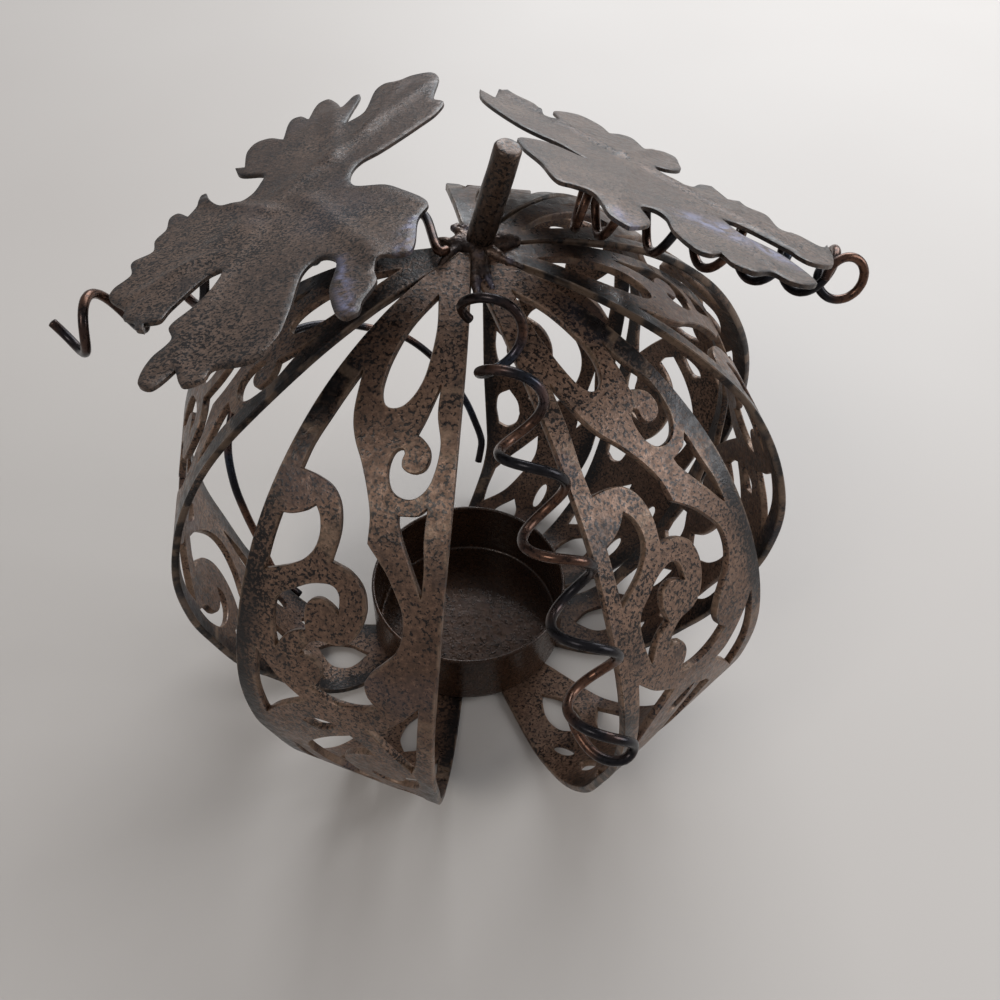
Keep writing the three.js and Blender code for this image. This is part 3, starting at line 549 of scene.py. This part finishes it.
def sheet_mesh(name, flat, place, thickness, painted_light_band):
    """Bends the flat pattern with place(points, depth) and closes it with a rounded rim.

    Each point keeps its distance to the rim as "edge" and band(points) as "band": the share of
    painted shade on a gore's rims, and of painted highlight on a leaf.
    """
    verts, tris, loops, faces_2d = flat
    edge = distance_to(verts, loops)
    points = [place(verts, 0.0), place(verts, thickness)]
    edges = [edge, edge]
    flats = [verts, verts]
    faces = [tris, tris[:, ::-1] + len(verts)]
    total = 2 * len(verts)
    for loop, face in zip(loops, faces_2d):
        n = len(loop)
        rings = [face] + [loop] * len(RIM_DEPTHS) + [face]
        depths = [0.0, *(thickness * share for share in RIM_DEPTHS), thickness]
        for ring, depth in zip(rings, depths):
            points.append(place(ring, depth))
            flats.append(ring)
            edges.append(np.zeros(n))
        i = np.arange(n)
        j = (i + 1) % n
        for k in range(len(rings) - 1):
            a, b = total + k * n, total + (k + 1) * n
            faces.append(np.stack([a + i, b + i, b + j], 1))
            faces.append(np.stack([a + i, b + j, a + j], 1))
        total += len(rings) * n
    mesh = bpy.data.meshes.new(name)
    mesh.from_pydata(world(np.concatenate(points)).tolist(), [], np.concatenate(faces).tolist())
    for label, values in (("edge", np.concatenate(edges)), ("painted_light_band", painted_light_band(np.concatenate(flats)))):
        layer = mesh.attributes.new(label, "FLOAT", "POINT")
        layer.data.foreach_set("value", values.astype(np.float32))
    return finished(name, mesh, sharp=38, weld=RIM_WELD)


# Gores

MERIDIAN_STEPS = 60
NORMAL_BLUR = 30
# how many steps at the hub give the slope of the part that reaches past it
HUB_STEPS = 20
BORDER_POINTS = 260
ELLIPSE_POINTS = 28
GORE_GRID = (1.6, 2.2)


def meridian():
    """Fine points of a gore's outer side, their length from the hub and the outward normals."""
    p = np.array(MERIDIAN, float)
    ghost = np.concatenate([2 * p[:1] - p[1:2], p, 2 * p[-1:] - p[-2:-1]])
    u = (np.arange(MERIDIAN_STEPS) / MERIDIAN_STEPS)[:, None]
    fine = []
    for i in range(len(p) - 1):
        a, b, c, d = ghost[i:i + 4]
        fine.append(0.5 * (2 * b + (c - a) * u + (2 * a - 5 * b + 4 * c - d) * u**2
                           + (3 * b - a - 3 * c + d) * u**3))
    fine = np.concatenate(fine + [p[-1:]])
    fine[:, 1] = np.maximum(fine[:, 1], 0)
    s = lengths(fine)
    along = np.gradient(fine, s, axis=0)
    kernel = np.hanning(2 * NORMAL_BLUR + 1)
    kernel /= kernel.sum()
    pad = np.pad(along, ((NORMAL_BLUR, NORMAL_BLUR), (0, 0)), mode="edge")
    along = np.stack([np.convolve(pad[:, k], kernel, "valid") for k in range(2)], 1)
    along /= np.linalg.norm(along, axis=1)[:, None]
    return fine, s, np.stack([-along[:, 1], along[:, 0]], 1)


MERIDIAN_POINTS, MERIDIAN_S, MERIDIAN_NORMALS = meridian()
GORE_LENGTH = MERIDIAN_S[-1]
HUB_SLOPE = (MERIDIAN_POINTS[HUB_STEPS] - MERIDIAN_POINTS[0]) / MERIDIAN_S[HUB_STEPS]


def half_width(s, top_half_width=NARROW_TOP[0]):
    above = s < GORE_WIDEST_AT
    reach = np.where(above, GORE_WIDEST_AT, GORE_LENGTH - GORE_WIDEST_AT)
    narrow = np.where(above, top_half_width, GORE_FOOT_HALF_WIDTH)
    share = np.abs(s - GORE_WIDEST_AT) / reach
    return GORE_HALF_WIDTH - (GORE_HALF_WIDTH - narrow) * share**2


def gore_flat(top_half_width, start):
    s = np.linspace(start, GORE_LENGTH, BORDER_POINTS)
    w = half_width(s, top_half_width)
    border = np.concatenate([np.stack([s, -w], 1), np.stack([s, w], 1)[::-1]])
    holes = [cornered(stretches, OUTLINE_STEP) for stretches in OPENINGS.values()]
    a = around(ELLIPSE_POINTS)
    for x, y, long, wide, turn in ELLIPSES:
        c, d = long * np.cos(a), wide * np.sin(a)
        holes.append(np.stack([x + c * math.cos(turn) - d * math.sin(turn),
                               y + c * math.sin(turn) + d * math.cos(turn)], 1))
    return flat_sheet(border, holes, GORE_GRID)


def gore_place(azimuth, twist, bulge, sway):
    """Where a gore's flat points go: s along it, t across, and the depth under its outer side."""
    from_front = math.radians(azimuth)
    across = math.radians(azimuth + twist)
    equator = max(r for r, _ in MERIDIAN)

    def place(flat, depth):
        s, t = flat.T
        at = sample(s, MERIDIAN_S, MERIDIAN_POINTS) + np.minimum(s, 0)[:, None] * HUB_SLOPE
        at = at - sample(s, MERIDIAN_S, MERIDIAN_NORMALS) * depth
        r = at[:, 0] * (1 + bulge * np.sin(math.pi / 2 * np.minimum(1, at[:, 0] / equator)))
        side = t + sway * smoothstep(s, *SWAY_GROWS) * (1 - smoothstep(s, *SWAY_FADES))
        return np.stack([r * math.sin(from_front) + side * math.cos(across),
                         -r * math.cos(from_front) + side * math.sin(across), at[:, 1]], 1)

    return place


def gore_rim_shade(rims):
    """How much painted shade a place gets on the dark stretches of the gore's long rims."""

    def painted_light_band(flat):
        s, t = flat.T
        share = np.zeros(len(flat))
        for side, start, end in rims:
            near = smoothstep(half_width(np.clip(s, 0, GORE_LENGTH)) - side * t, *RIM_SHADE_FADE)
            begun = smoothstep(s, start - RIM_SHADE_END_FADE, start + RIM_SHADE_END_FADE)
            over = smoothstep(s, end - RIM_SHADE_END_FADE, end + RIM_SHADE_END_FADE)
            share = np.maximum(share, near * begun * (1 - over))
        return share

    return painted_light_band


# Leaves

LEAF_GRID = (1.2, 1.2)


def leaf(name, shape):
    z = unit(shape["normal"])
    x = square_to(shape["tip"], z)
    y = np.cross(z, x)
    centre = np.array(shape["centre"], float)

    def place(flat, depth):
        lift = np.zeros(len(flat))
        for a, b, height, width in shape["veins"]:
            lift += height * bell(off_line(flat, a, b), width)
        for px, py, radius, drop in shape["curl"]:
            lift += drop * bell(np.hypot(flat[:, 0] - px, flat[:, 1] - py), radius)
        return centre + flat[:, :1] * x + flat[:, 1:2] * y + (lift - depth)[:, None] * z

    # where the painted bluish highlight lies on the leaf
    def painted_highlight(flat):
        return np.max([bell(off_line(flat, a, b), width) for a, b, width in shape["painted_highlight"]], axis=0)

    flat = flat_sheet(rounded(np.array(shape["border"], float)), [], LEAF_GRID)
    return sheet_mesh(name, flat, place, LEAF_SHEET, painted_highlight)


# Wires

COIL_POINTS_PER_TURN = 28
AXIS_STEP = 0.2
LEAD_STEP = 0.6
PLAIN_STEP = 0.8
WIRE_STEP = 0.55
WIRE_SOFTENINGS = 6
WIRE_SIDES = 14
ARCH_STEP = 0.9
ARCH_SIDES = 16
# a rounded end: how far each ring lies towards the end, and its share of the radius
CAP_RINGS = [(0.0, 1.0), (0.55, 0.85), (0.95, 0.35)]
CAP_LENGTH = 0.35


def coil(axis, side, radii, turns, start, sense):
    """Points winding around the axis; `side` is where angle 0 lies."""
    fine = smooth(axis, AXIS_STEP)
    s = lengths(fine)
    tangents = np.gradient(fine, s, axis=0)
    count = round(turns * COIL_POINTS_PER_TURN)
    out = []
    for i in range(count + 1):
        u = i / count
        along = unit(sample(u * s[-1], s, tangents))
        a = square_to(side, along)
        b = np.cross(along, a)
        angle = start + sense * 2 * math.pi * i / COIL_POINTS_PER_TURN
        reach = radii[0] + (radii[1] - radii[0]) * u
        out.append(sample(u * s[-1], s, fine)
                   + a * reach * math.cos(angle) + b * reach * math.sin(angle))
    return np.array(out)


def tube(name, centres, radius, sides):
    """A round wire along the centres, with rounded ends."""
    along = np.gradient(centres, axis=0)
    along /= np.linalg.norm(along, axis=1)[:, None]
    across = np.cross(along[0], (0, 0, 1))
    angles = around(sides)[:, None]
    cap = CAP_LENGTH * radius
    rings = []
    for i, (c, t) in enumerate(zip(centres, along)):
        across = square_to(across, t)
        other = np.cross(t, across)
        circle = radius * (np.cos(angles) * across + np.sin(angles) * other)
        if i == 0:
            rings += [c + t * cap * (1 - h) + circle * w for h, w in CAP_RINGS[::-1]]
        elif i == len(centres) - 1:
            rings += [c - t * cap * (1 - h) + circle * w for h, w in CAP_RINGS]
        else:
            rings.append(c + circle)
    return ringed(name, rings, sharp=50, capped=True)


def tendril(name, stretches):
    points = []
    for stretch in stretches:
        part = smooth(stretch, PLAIN_STEP) if isinstance(stretch, list) else coil(*stretch)
        if points:
            points.append(smooth([points[-1][-1], part[0]], LEAD_STEP)[1:-1])
        points.append(part)
    centres = np.concatenate(points)
    for _ in range(WIRE_SOFTENINGS):
        centres[1:-1] = 0.25 * centres[:-2] + 0.5 * centres[1:-1] + 0.25 * centres[2:]
    s = lengths(centres)
    centres = sample(np.linspace(0, s[-1], int(s[-1] / WIRE_STEP)), s, centres)
    return tube(name, centres, WIRE_RADIUS, WIRE_SIDES)


def arch_foot(gore, side, along):
    """Points beside a gore's rim, in the middle of its sheet."""
    beside = 2 * PIECE_GAP + ARCH_RADIUS
    flat = np.array([(s, side * (half_width(np.array(s)) + beside)) for s in along])
    return gore_place(*GORES[gore])(flat, SHEET / 2)


def arch(name):
    a, r, z = np.array(ARCH, float).T
    free = np.stack([r * np.sin(np.radians(a)), -r * np.cos(np.radians(a)), z], 1)
    first, last = (arch_foot(*foot) for foot in ARCH_FEET)
    centres = smooth(np.concatenate([first, free, last]), ARCH_STEP)
    return tube(name, centres, ARCH_RADIUS, ARCH_SIDES)


# Cup, stem and weld

CUP_SIDES = 160
STEM_SIDES = 48
# the stem's rounded top: how far under the top, and the share of the radius
STEM_EDGE = [(0.28, 0.97), (0.1, 0.9), (0, 0.78), (0, 0.4), (0, 0)]
# the part of the meridian that the weld lies on, and how many drops go around the stem's foot
HUB_POINTS = 200
STEM_DROPS = 16


def cup(name):
    floor = SHEET + PIECE_GAP
    rim = floor + CUP_HEIGHT
    bend = CUP_RADIUS - CUP_CORNER
    half = CUP_WALL / 2

    def corner(radius, degrees):
        return [(bend + radius * math.sin(a), floor + CUP_CORNER - radius * math.cos(a))
                for a in np.radians(degrees)]

    lip = [(CUP_RADIUS - half + half * math.cos(a), rim - half + half * math.sin(a))
           for a in np.radians([0, 30, 60, 90, 120, 150, 180])]
    plain = np.linspace(floor + CUP_CORNER + 1, rim - 1, 8)
    profile = ([(r, floor) for r in (0, 6, 12)] + corner(CUP_CORNER, [0, 15, 30, 45, 60, 75, 90])
               + [(CUP_RADIUS, z) for z in plain] + lip
               + [(CUP_RADIUS - CUP_WALL, z) for z in plain[::-1]]
               + corner(CUP_CORNER - CUP_WALL, [90, 70, 50, 30, 15, 0])
               + [(r, floor + CUP_WALL) for r in (19, 18, 17, 14, 10, 5, 0)])
    a = around(CUP_SIDES)
    rings = [np.stack([r * np.cos(a), r * np.sin(a), np.full(CUP_SIDES, z)], 1) for r, z in profile]
    return ringed(name, rings, sharp=50, weld=POLE_WELD)


def stem(name):
    length = float(np.linalg.norm(STEM_TOP - STEM_FOOT))
    axis = unit(STEM_TOP - STEM_FOOT)
    side = unit(np.cross(axis, (0, 1, 0)))
    other = np.cross(axis, side)
    a = around(STEM_SIDES)
    circle = np.cos(a)[:, None] * side + np.sin(a)[:, None] * other
    rows = [(0, 0)] + [(h, 1) for h in np.linspace(0, length - 0.5, 40)]
    rows += [(length - under, share) for under, share in STEM_EDGE]
    rings = []
    for h, w in rows:
        dent = 1 + 0.025 * np.sin(2 * a + 0.25 * h) + 0.015 * np.sin(5 * a - 0.8 * h)
        rings.append(STEM_FOOT + h * axis + circle * (STEM_RADIUS * w * dent)[:, None])
    return ringed(name, rings, sharp=45, weld=POLE_WELD)


def weld_drops():
    """The weld's drops (x, y, z, radius), along its rows and in a ring around the stem's foot."""
    drops = []
    hub_r, hub_z = MERIDIAN_POINTS[:HUB_POINTS].T
    for row in WELD_ROWS:
        for i, (x, y, radius, lift) in enumerate(smooth(row, WELD_STEP)):
            z = np.interp(math.hypot(x, y), hub_r, hub_z)
            wobble = 1 + 0.12 * math.sin(2.3 * i + 3 * x) + 0.06 * math.sin(5.1 * i + y)
            drops.append((x, y, z + lift, radius * wobble))
    for a in around(STEM_DROPS):
        x = STEM_FOOT[0] + 0.5 + STEM_WELD_RADIUS * math.cos(a)
        y = STEM_FOOT[1] - 0.2 + STEM_WELD_RADIUS * math.sin(a)
        z = STEM_WELD_HEIGHT + 0.35 * math.sin(3 * a + 1)
        drops.append((x, y, z, 1.0 + 0.2 * math.sin(5 * a)))
    return drops


def weld_bead(name):
    """The weld: drops run together into one lump."""
    bm = bmesh.new()
    for x, y, z, radius in weld_drops():
        move = Matrix.Translation(world((x, y, z)).tolist()) @ Matrix.Scale(radius * MM, 4)
        bmesh.ops.create_icosphere(bm, subdivisions=2, radius=1, matrix=move)
    mesh = bpy.data.meshes.new(name)
    bm.to_mesh(mesh)
    bm.free()
    rough = placed(name + "_drops", mesh)
    remesh = rough.modifiers.new("merge", "REMESH")
    remesh.mode = "VOXEL"
    remesh.voxel_size = WELD_GRAIN * MM
    soften = rough.modifiers.new("soften", "SMOOTH")
    soften.factor = 0.5
    soften.iterations = 2
    depsgraph = bpy.context.evaluated_depsgraph_get()
    merged = bpy.data.meshes.new_from_object(rough.evaluated_get(depsgraph))
    bpy.data.objects.remove(rough)
    bpy.data.meshes.remove(mesh)
    merged.name = name
    return finished(name, merged, sharp=70)


# Paints

class Nodes:
    """A material's nodes, written in order."""

    def __init__(self, name):
        self.material = bpy.data.materials.new(name)
        self.material.use_nodes = True
        self.tree = self.material.node_tree
        self.tree.nodes.clear()
        out = self.new("OutputMaterial")
        self.shader = self.new("BsdfPrincipled")
        self.feed(self.shader.outputs[0], out.inputs["Surface"])
        self.place = self.new("TexCoord").outputs["Object"]

    def new(self, kind):
        return self.tree.nodes.new("ShaderNode" + kind)

    def feed(self, x, socket):
        """A number, a display colour or another node's output into the socket."""
        if isinstance(x, tuple):
            socket.default_value = (*linear(x), 1.0)
        elif isinstance(x, (int, float)):
            socket.default_value = x
        else:
            self.tree.links.new(x, socket)

    def paint(self, label, x):
        self.feed(x, self.shader.inputs[label])

    def noise(self, scale, detail, rough=0.5, seed=0.0):
        node = self.new("TexNoise")
        self.feed(scale, node.inputs["Scale"])
        self.feed(detail, node.inputs["Detail"])
        self.feed(rough, node.inputs["Roughness"])
        move = self.new("Mapping")
        move.inputs["Location"].default_value = (seed, seed * 0.7, seed * 1.3)
        self.feed(self.place, move.inputs["Vector"])
        self.feed(move.outputs[0], node.inputs["Vector"])
        return node.outputs["Fac"]

    def attribute(self, name):
        node = self.new("Attribute")
        node.attribute_name = name
        return node.outputs["Fac"]

    def math(self, what, a, b):
        node = self.new("Math")
        node.operation = what
        self.feed(a, node.inputs[0])
        self.feed(b, node.inputs[1])
        return node.outputs[0]

    def times(self, a, b):
        return self.math("MULTIPLY", a, b)

    def span(self, x, low, high, to_low=0.0, to_high=1.0):
        """x from low..high to to_low..to_high, smooth and clamped."""
        node = self.new("MapRange")
        node.interpolation_type = "SMOOTHSTEP"
        labels = ("Value", "From Min", "From Max", "To Min", "To Max")
        for label, v in zip(labels, (x, low, high, to_low, to_high)):
            self.feed(v, node.inputs[label])
        return node.outputs["Result"]

    def mix(self, share, a, b):
        node = self.new("Mix")
        node.data_type = "RGBA"
        for label, x in (("Factor", share), ("A", a), ("B", b)):
            self.feed(x, node.inputs[label])
        return node.outputs["Result"]

    def bump(self, height, distance, strength, below=None):
        node = self.new("Bump")
        self.feed(distance, node.inputs["Distance"])
        self.feed(strength, node.inputs["Strength"])
        self.feed(height, node.inputs["Height"])
        if below is not None:
            self.feed(below, node.inputs["Normal"])
        return node.outputs["Normal"]


SMUDGE = (34, 31, 33)
# painted shade on the dark stretches of a gore's rims
RIM_SHADE = (24, 21, 21)
# painted blue-grey reflection of the cool light
BLUE_REFLECTION = (84, 88, 104)
# painted bluish highlight on the leaves
HIGHLIGHT_BLUE = (128, 130, 160)
# painted highlight along cut rims
GLINT_TAN = (150, 124, 102)


def linear(rgb):
    """A display colour from 0 to 255 as linear values."""
    shares = [c / 255 for c in rgb]
    return tuple(c / 12.92 if c <= 0.04045 else ((c + 0.055) / 1.055) ** 2.4 for c in shares)


def speckled(name, light, dark, ink, density, size=1900, metal=0.5, gloss=0.4, rims=0.0, blue_reflection=0.0,
             painted_highlight=0.0, edge_glint=0.0):
    """Brown paint, light and dark in patches, with fine speckles of ink.

    rims: how much painted shade darkens the "band" along a gore's rims.
    bloom: a blue-grey painted reflection of the cool light, in random patches.
    sheen: the painted bluish highlight on a leaf's "band", where the cut rim is dark too.
    worn: a painted highlight in patches along the cut rims.
    """
    n = Nodes(name)
    wide = n.noise(38, 2, seed=0.31)
    patch = n.noise(130, 3, 0.55, seed=0.73)
    colour = n.mix(n.span(wide, 0.36, 0.64), light, dark)
    mottle = n.noise(1250, 4, 0.72, seed=7.9)
    colour = n.mix(n.span(mottle, 0.42, 0.66, 0.0, 0.6), colour, tuple(0.55 * c for c in dark))
    colour = n.mix(n.span(mottle, 0.46, 0.3, 0.0, 0.35), colour,
                   tuple(min(255, 1.3 * c) for c in light))
    colour = n.mix(n.span(patch, 0.5, 0.78, 0.0, 0.3), colour, ink)

    grain = n.noise(size, 2.5, 0.6, seed=1.1)
    limit = n.times(n.math("SUBTRACT", wide, 0.5), 0.2)
    limit = n.math("ADD", limit, 0.52 + (0.5 - density) * 0.34)
    limit = n.math("SUBTRACT", limit, n.times(n.math("SUBTRACT", patch, 0.5), 0.2))
    # painted shade: more ink speckles on the dark stretches of a gore's rims
    if rims:
        painted_light_band = n.times(n.attribute("painted_light_band"), n.span(n.noise(60, 2, seed=2.2), 0.3, 0.5, 0.35, 1.0))
        limit = n.math("SUBTRACT", limit, n.times(painted_light_band, 0.14 * rims))
    dots = n.span(grain, limit, n.math("ADD", limit, 0.05))
    colour = n.mix(n.times(dots, 0.95), colour, ink)

    smudge = n.span(n.noise(88, 3, 0.6, seed=8.8), 0.6, 0.72, 0.0, 0.55)
    colour = n.mix(smudge, colour, SMUDGE)
    # painted shade: the dark stretches of a gore's rims go near black
    if rims:
        colour = n.mix(n.times(painted_light_band, 0.85 * rims), colour, RIM_SHADE)
    # a painted blue-grey reflection of the cool light, in random patches
    if blue_reflection:
        painted_reflection = n.span(n.noise(52, 2, seed=4.6), 0.58, 0.72, 0.0, blue_reflection)
        colour = n.mix(painted_reflection, colour, BLUE_REFLECTION)
    # a painted bluish highlight on the leaf's marked places, and its cut rim darker in patches
    if painted_highlight:
        painted_reflection = n.span(n.noise(420, 3, 0.6, seed=4.1), 0.36, 0.62, 0.0, painted_highlight)
        colour = n.mix(n.times(n.attribute("painted_light_band"), painted_reflection), colour, HIGHLIGHT_BLUE)
        rim = n.span(n.attribute("edge"), 0.0, 1.1, 0.75, 0.0)
        colour = n.mix(n.times(rim, n.span(patch, 0.35, 0.6, 0.3, 1.0)), colour, ink)
    # a painted highlight in patches along the cut rims
    if edge_glint:
        near = n.span(n.attribute("edge"), 0.0, 0.5, edge_glint, 0.0)
        near = n.times(near, n.span(n.noise(260, 2, seed=5.2), 0.42, 0.6))
        colour = n.mix(near, colour, GLINT_TAN)
    n.paint("Base Color", colour)
    n.paint("Metallic", metal)
    rough = n.span(n.noise(700, 2, 0.6, seed=3.3), 0.3, 0.7, gloss - 0.06, gloss + 0.12)
    n.paint("Roughness", n.math("ADD", rough, n.times(dots, -0.08)))
    fine = n.bump(grain, 0.1 * MM, 0.6)
    n.paint("Normal", n.bump(n.noise(260, 3, 0.6, seed=6.1), 0.22 * MM, 0.4, fine))
    return n.material


def wire_paint(name):
    """Dark brown paint, blue-black in patches with a painted blue reflection, and fine speckles."""
    n = Nodes(name)
    colour = n.mix(n.span(n.noise(75, 2, seed=0.4), 0.4, 0.56), (96, 68, 54), (36, 34, 37))
    # painted reflection of the cool light, as blue in random patches
    blue = n.span(n.noise(60, 2, seed=6.4), 0.56, 0.68, 0.0, 0.5)
    colour = n.mix(blue, colour, (56, 66, 82))
    dots = n.span(n.noise(1500, 3, 0.62, seed=1.7), 0.52, 0.62)
    n.paint("Base Color", n.mix(n.times(dots, 0.7), colour, (22, 20, 22)))
    n.paint("Metallic", 0.8)
    n.paint("Roughness", n.span(n.noise(500, 2, seed=2.9), 0.3, 0.7, 0.2, 0.36))
    n.paint("Normal", n.bump(n.noise(420, 2, seed=3.7), 0.12 * MM, 0.4))
    return n.material


def weld_paint(name):
    """Thin brown paint over the weld, bluish in patches."""
    n = Nodes(name)
    patch = n.noise(300, 3, 0.6, seed=0.9)
    colour = n.mix(n.span(patch, 0.42, 0.6), (96, 76, 64), (58, 46, 42))
    blue = n.span(n.noise(230, 2, seed=5.5), 0.52, 0.66)
    colour = n.mix(n.times(blue, 0.6), colour, (104, 106, 126))
    dots = n.span(n.noise(2000, 3, 0.62, seed=1.3), 0.52, 0.62)
    n.paint("Base Color", n.mix(n.times(dots, 0.8), colour, (28, 23, 22)))
    n.paint("Metallic", 0.6)
    n.paint("Roughness", n.span(patch, 0.3, 0.7, 0.3, 0.5))
    n.paint("Normal", n.bump(n.noise(900, 3, 0.6, seed=2.1), 0.4 * MM, 0.7))
    return n.material


# The holder

GORE_PAINT = speckled("gore_paint", (126, 98, 80), (92, 67, 52), (22, 17, 16), 0.46,
                      metal=0.35, rims=1.0, blue_reflection=0.15, edge_glint=0.4)
LEAF_PAINT = speckled("leaf_paint", (106, 86, 73), (78, 60, 49), (22, 18, 17), 0.5, size=2300,
                      metal=0.35, blue_reflection=0.12, painted_highlight=0.8)
CUP_PAINT = speckled("cup_paint", (72, 48, 32), (50, 33, 22), (22, 16, 13), 0.25,
                     metal=0.35, gloss=0.24)
STEM_PAINT = speckled("stem_paint", (88, 68, 55), (64, 50, 42), (24, 20, 19), 0.46,
                      blue_reflection=0.2, gloss=0.36)
WIRE_PAINT = wire_paint("wire_paint")
WELD_PAINT = weld_paint("weld_steel")

broad, narrow = gore_flat(*BROAD_TOP), gore_flat(*NARROW_TOP)
for node, numbers in GORES.items():
    pattern = broad if node in BROAD_GORES else narrow
    # painted shade along the dark stretches of the rims
    painted_light_band = gore_rim_shade(SHADED_RIMS.get(node, BOTH_RIMS_SHADED))
    gore = sheet_mesh(node.replace("gore", "sheet"), pattern, gore_place(*numbers), SHEET, painted_light_band)
    add_piece(gore, node, GORE_PAINT)
for node, shape in LEAVES.items():
    add_piece(leaf(node.replace("leaf", "leaf_plate"), shape), node, LEAF_PAINT)
for node, stretches in TENDRILS.items():
    add_piece(tendril(node.replace("tendril", "coil"), stretches), node, WIRE_PAINT)
add_piece(arch("arch_wire"), "door_arch", WIRE_PAINT)
add_piece(cup("candle_cup"), "tealight_cup", CUP_PAINT)
add_piece(stem("stem_rod"), "stem", STEM_PAINT)
add_piece(weld_bead("weld_bead"), "hub_weld", WELD_PAINT)


# Floor, light and camera, in metres unless it says otherwise

FLOOR_REACH = 3
LAMPS_AIM = (0, 0, 0.05)
# place, size, watts, colour
LAMPS = {
    "window": ((0.3, 0.8, 0.6), (0.9, 0.6), 10, (0.92, 0.96, 1.0)),
    "front": ((-0.45, -0.5, 0.8), (0.35, 0.35), 2, (1.0, 0.96, 0.9)),
    "side": ((0.85, -0.05, 0.45), (0.5, 0.5), 4, (0.93, 0.96, 1.0)),
}
# millimetres from the cage's axis, radians, and the focal length as a share of the sensor
CAMERA_PLACE = (0.049, -128.57, 192.21)
CAMERA_PITCH, CAMERA_YAW, CAMERA_ROLL = 0.8558, 0.0495, -0.0328
CAMERA_FOCAL = 0.972485
CAMERA_SENSOR = 36


def floor():
    d = FLOOR_REACH
    mesh = bpy.data.meshes.new("floor")
    mesh.from_pydata([(-d, -d, 0), (d, -d, 0), (d, d, 0), (-d, d, 0)], [], [(0, 1, 2, 3)])
    obj = placed("floor", mesh)
    n = Nodes("floor_paint")
    n.paint("Base Color", n.mix(n.noise(8, 2), (188, 181, 175), (198, 192, 186)))
    n.paint("Roughness", 0.55)
    mesh.materials.append(n.material)


def lamp(name, place, size, power, colour):
    data = bpy.data.lights.new(name, "AREA")
    data.shape = "RECTANGLE"
    data.size, data.size_y = size
    data.energy = power
    data.color = colour
    obj = placed(name, data)
    obj.location = place
    towards = Vector(LAMPS_AIM) - Vector(place)
    obj.rotation_euler = towards.to_track_quat("-Z", "Y").to_euler()


def light():
    studio = bpy.data.worlds.new("studio")
    studio.use_nodes = True
    background = studio.node_tree.nodes["Background"]
    background.inputs["Color"].default_value = (0.93, 0.95, 1.0, 1)
    background.inputs["Strength"].default_value = 0.3
    bpy.context.scene.world = studio
    for name, numbers in LAMPS.items():
        lamp(name, *numbers)


def camera():
    """The photograph's view: 49 degrees down from above the front, through a 35 mm lens."""
    pitch, yaw, roll = CAMERA_PITCH, CAMERA_YAW, CAMERA_ROLL
    forward = np.array([math.sin(yaw) * math.cos(pitch), math.cos(yaw) * math.cos(pitch),
                        -math.sin(pitch)])
    right = np.array([math.cos(yaw), -math.sin(yaw), 0.0])
    up = np.cross(right, forward)
    right, up = (math.cos(roll) * right - math.sin(roll) * up,
                 math.sin(roll) * right + math.cos(roll) * up)
    data = bpy.data.cameras.new("camera")
    data.sensor_width = CAMERA_SENSOR
    data.lens = CAMERA_FOCAL * CAMERA_SENSOR
    data.clip_start = 0.01
    obj = placed("camera", data)
    turn = Matrix(np.stack([right, up, -forward], 1).tolist()).to_4x4()
    obj.matrix_world = Matrix.Translation(world(CAMERA_PLACE).tolist()) @ turn
    bpy.context.scene.camera = obj


floor()
light()
camera()
bpy.context.scene.view_settings.view_transform = "Standard"
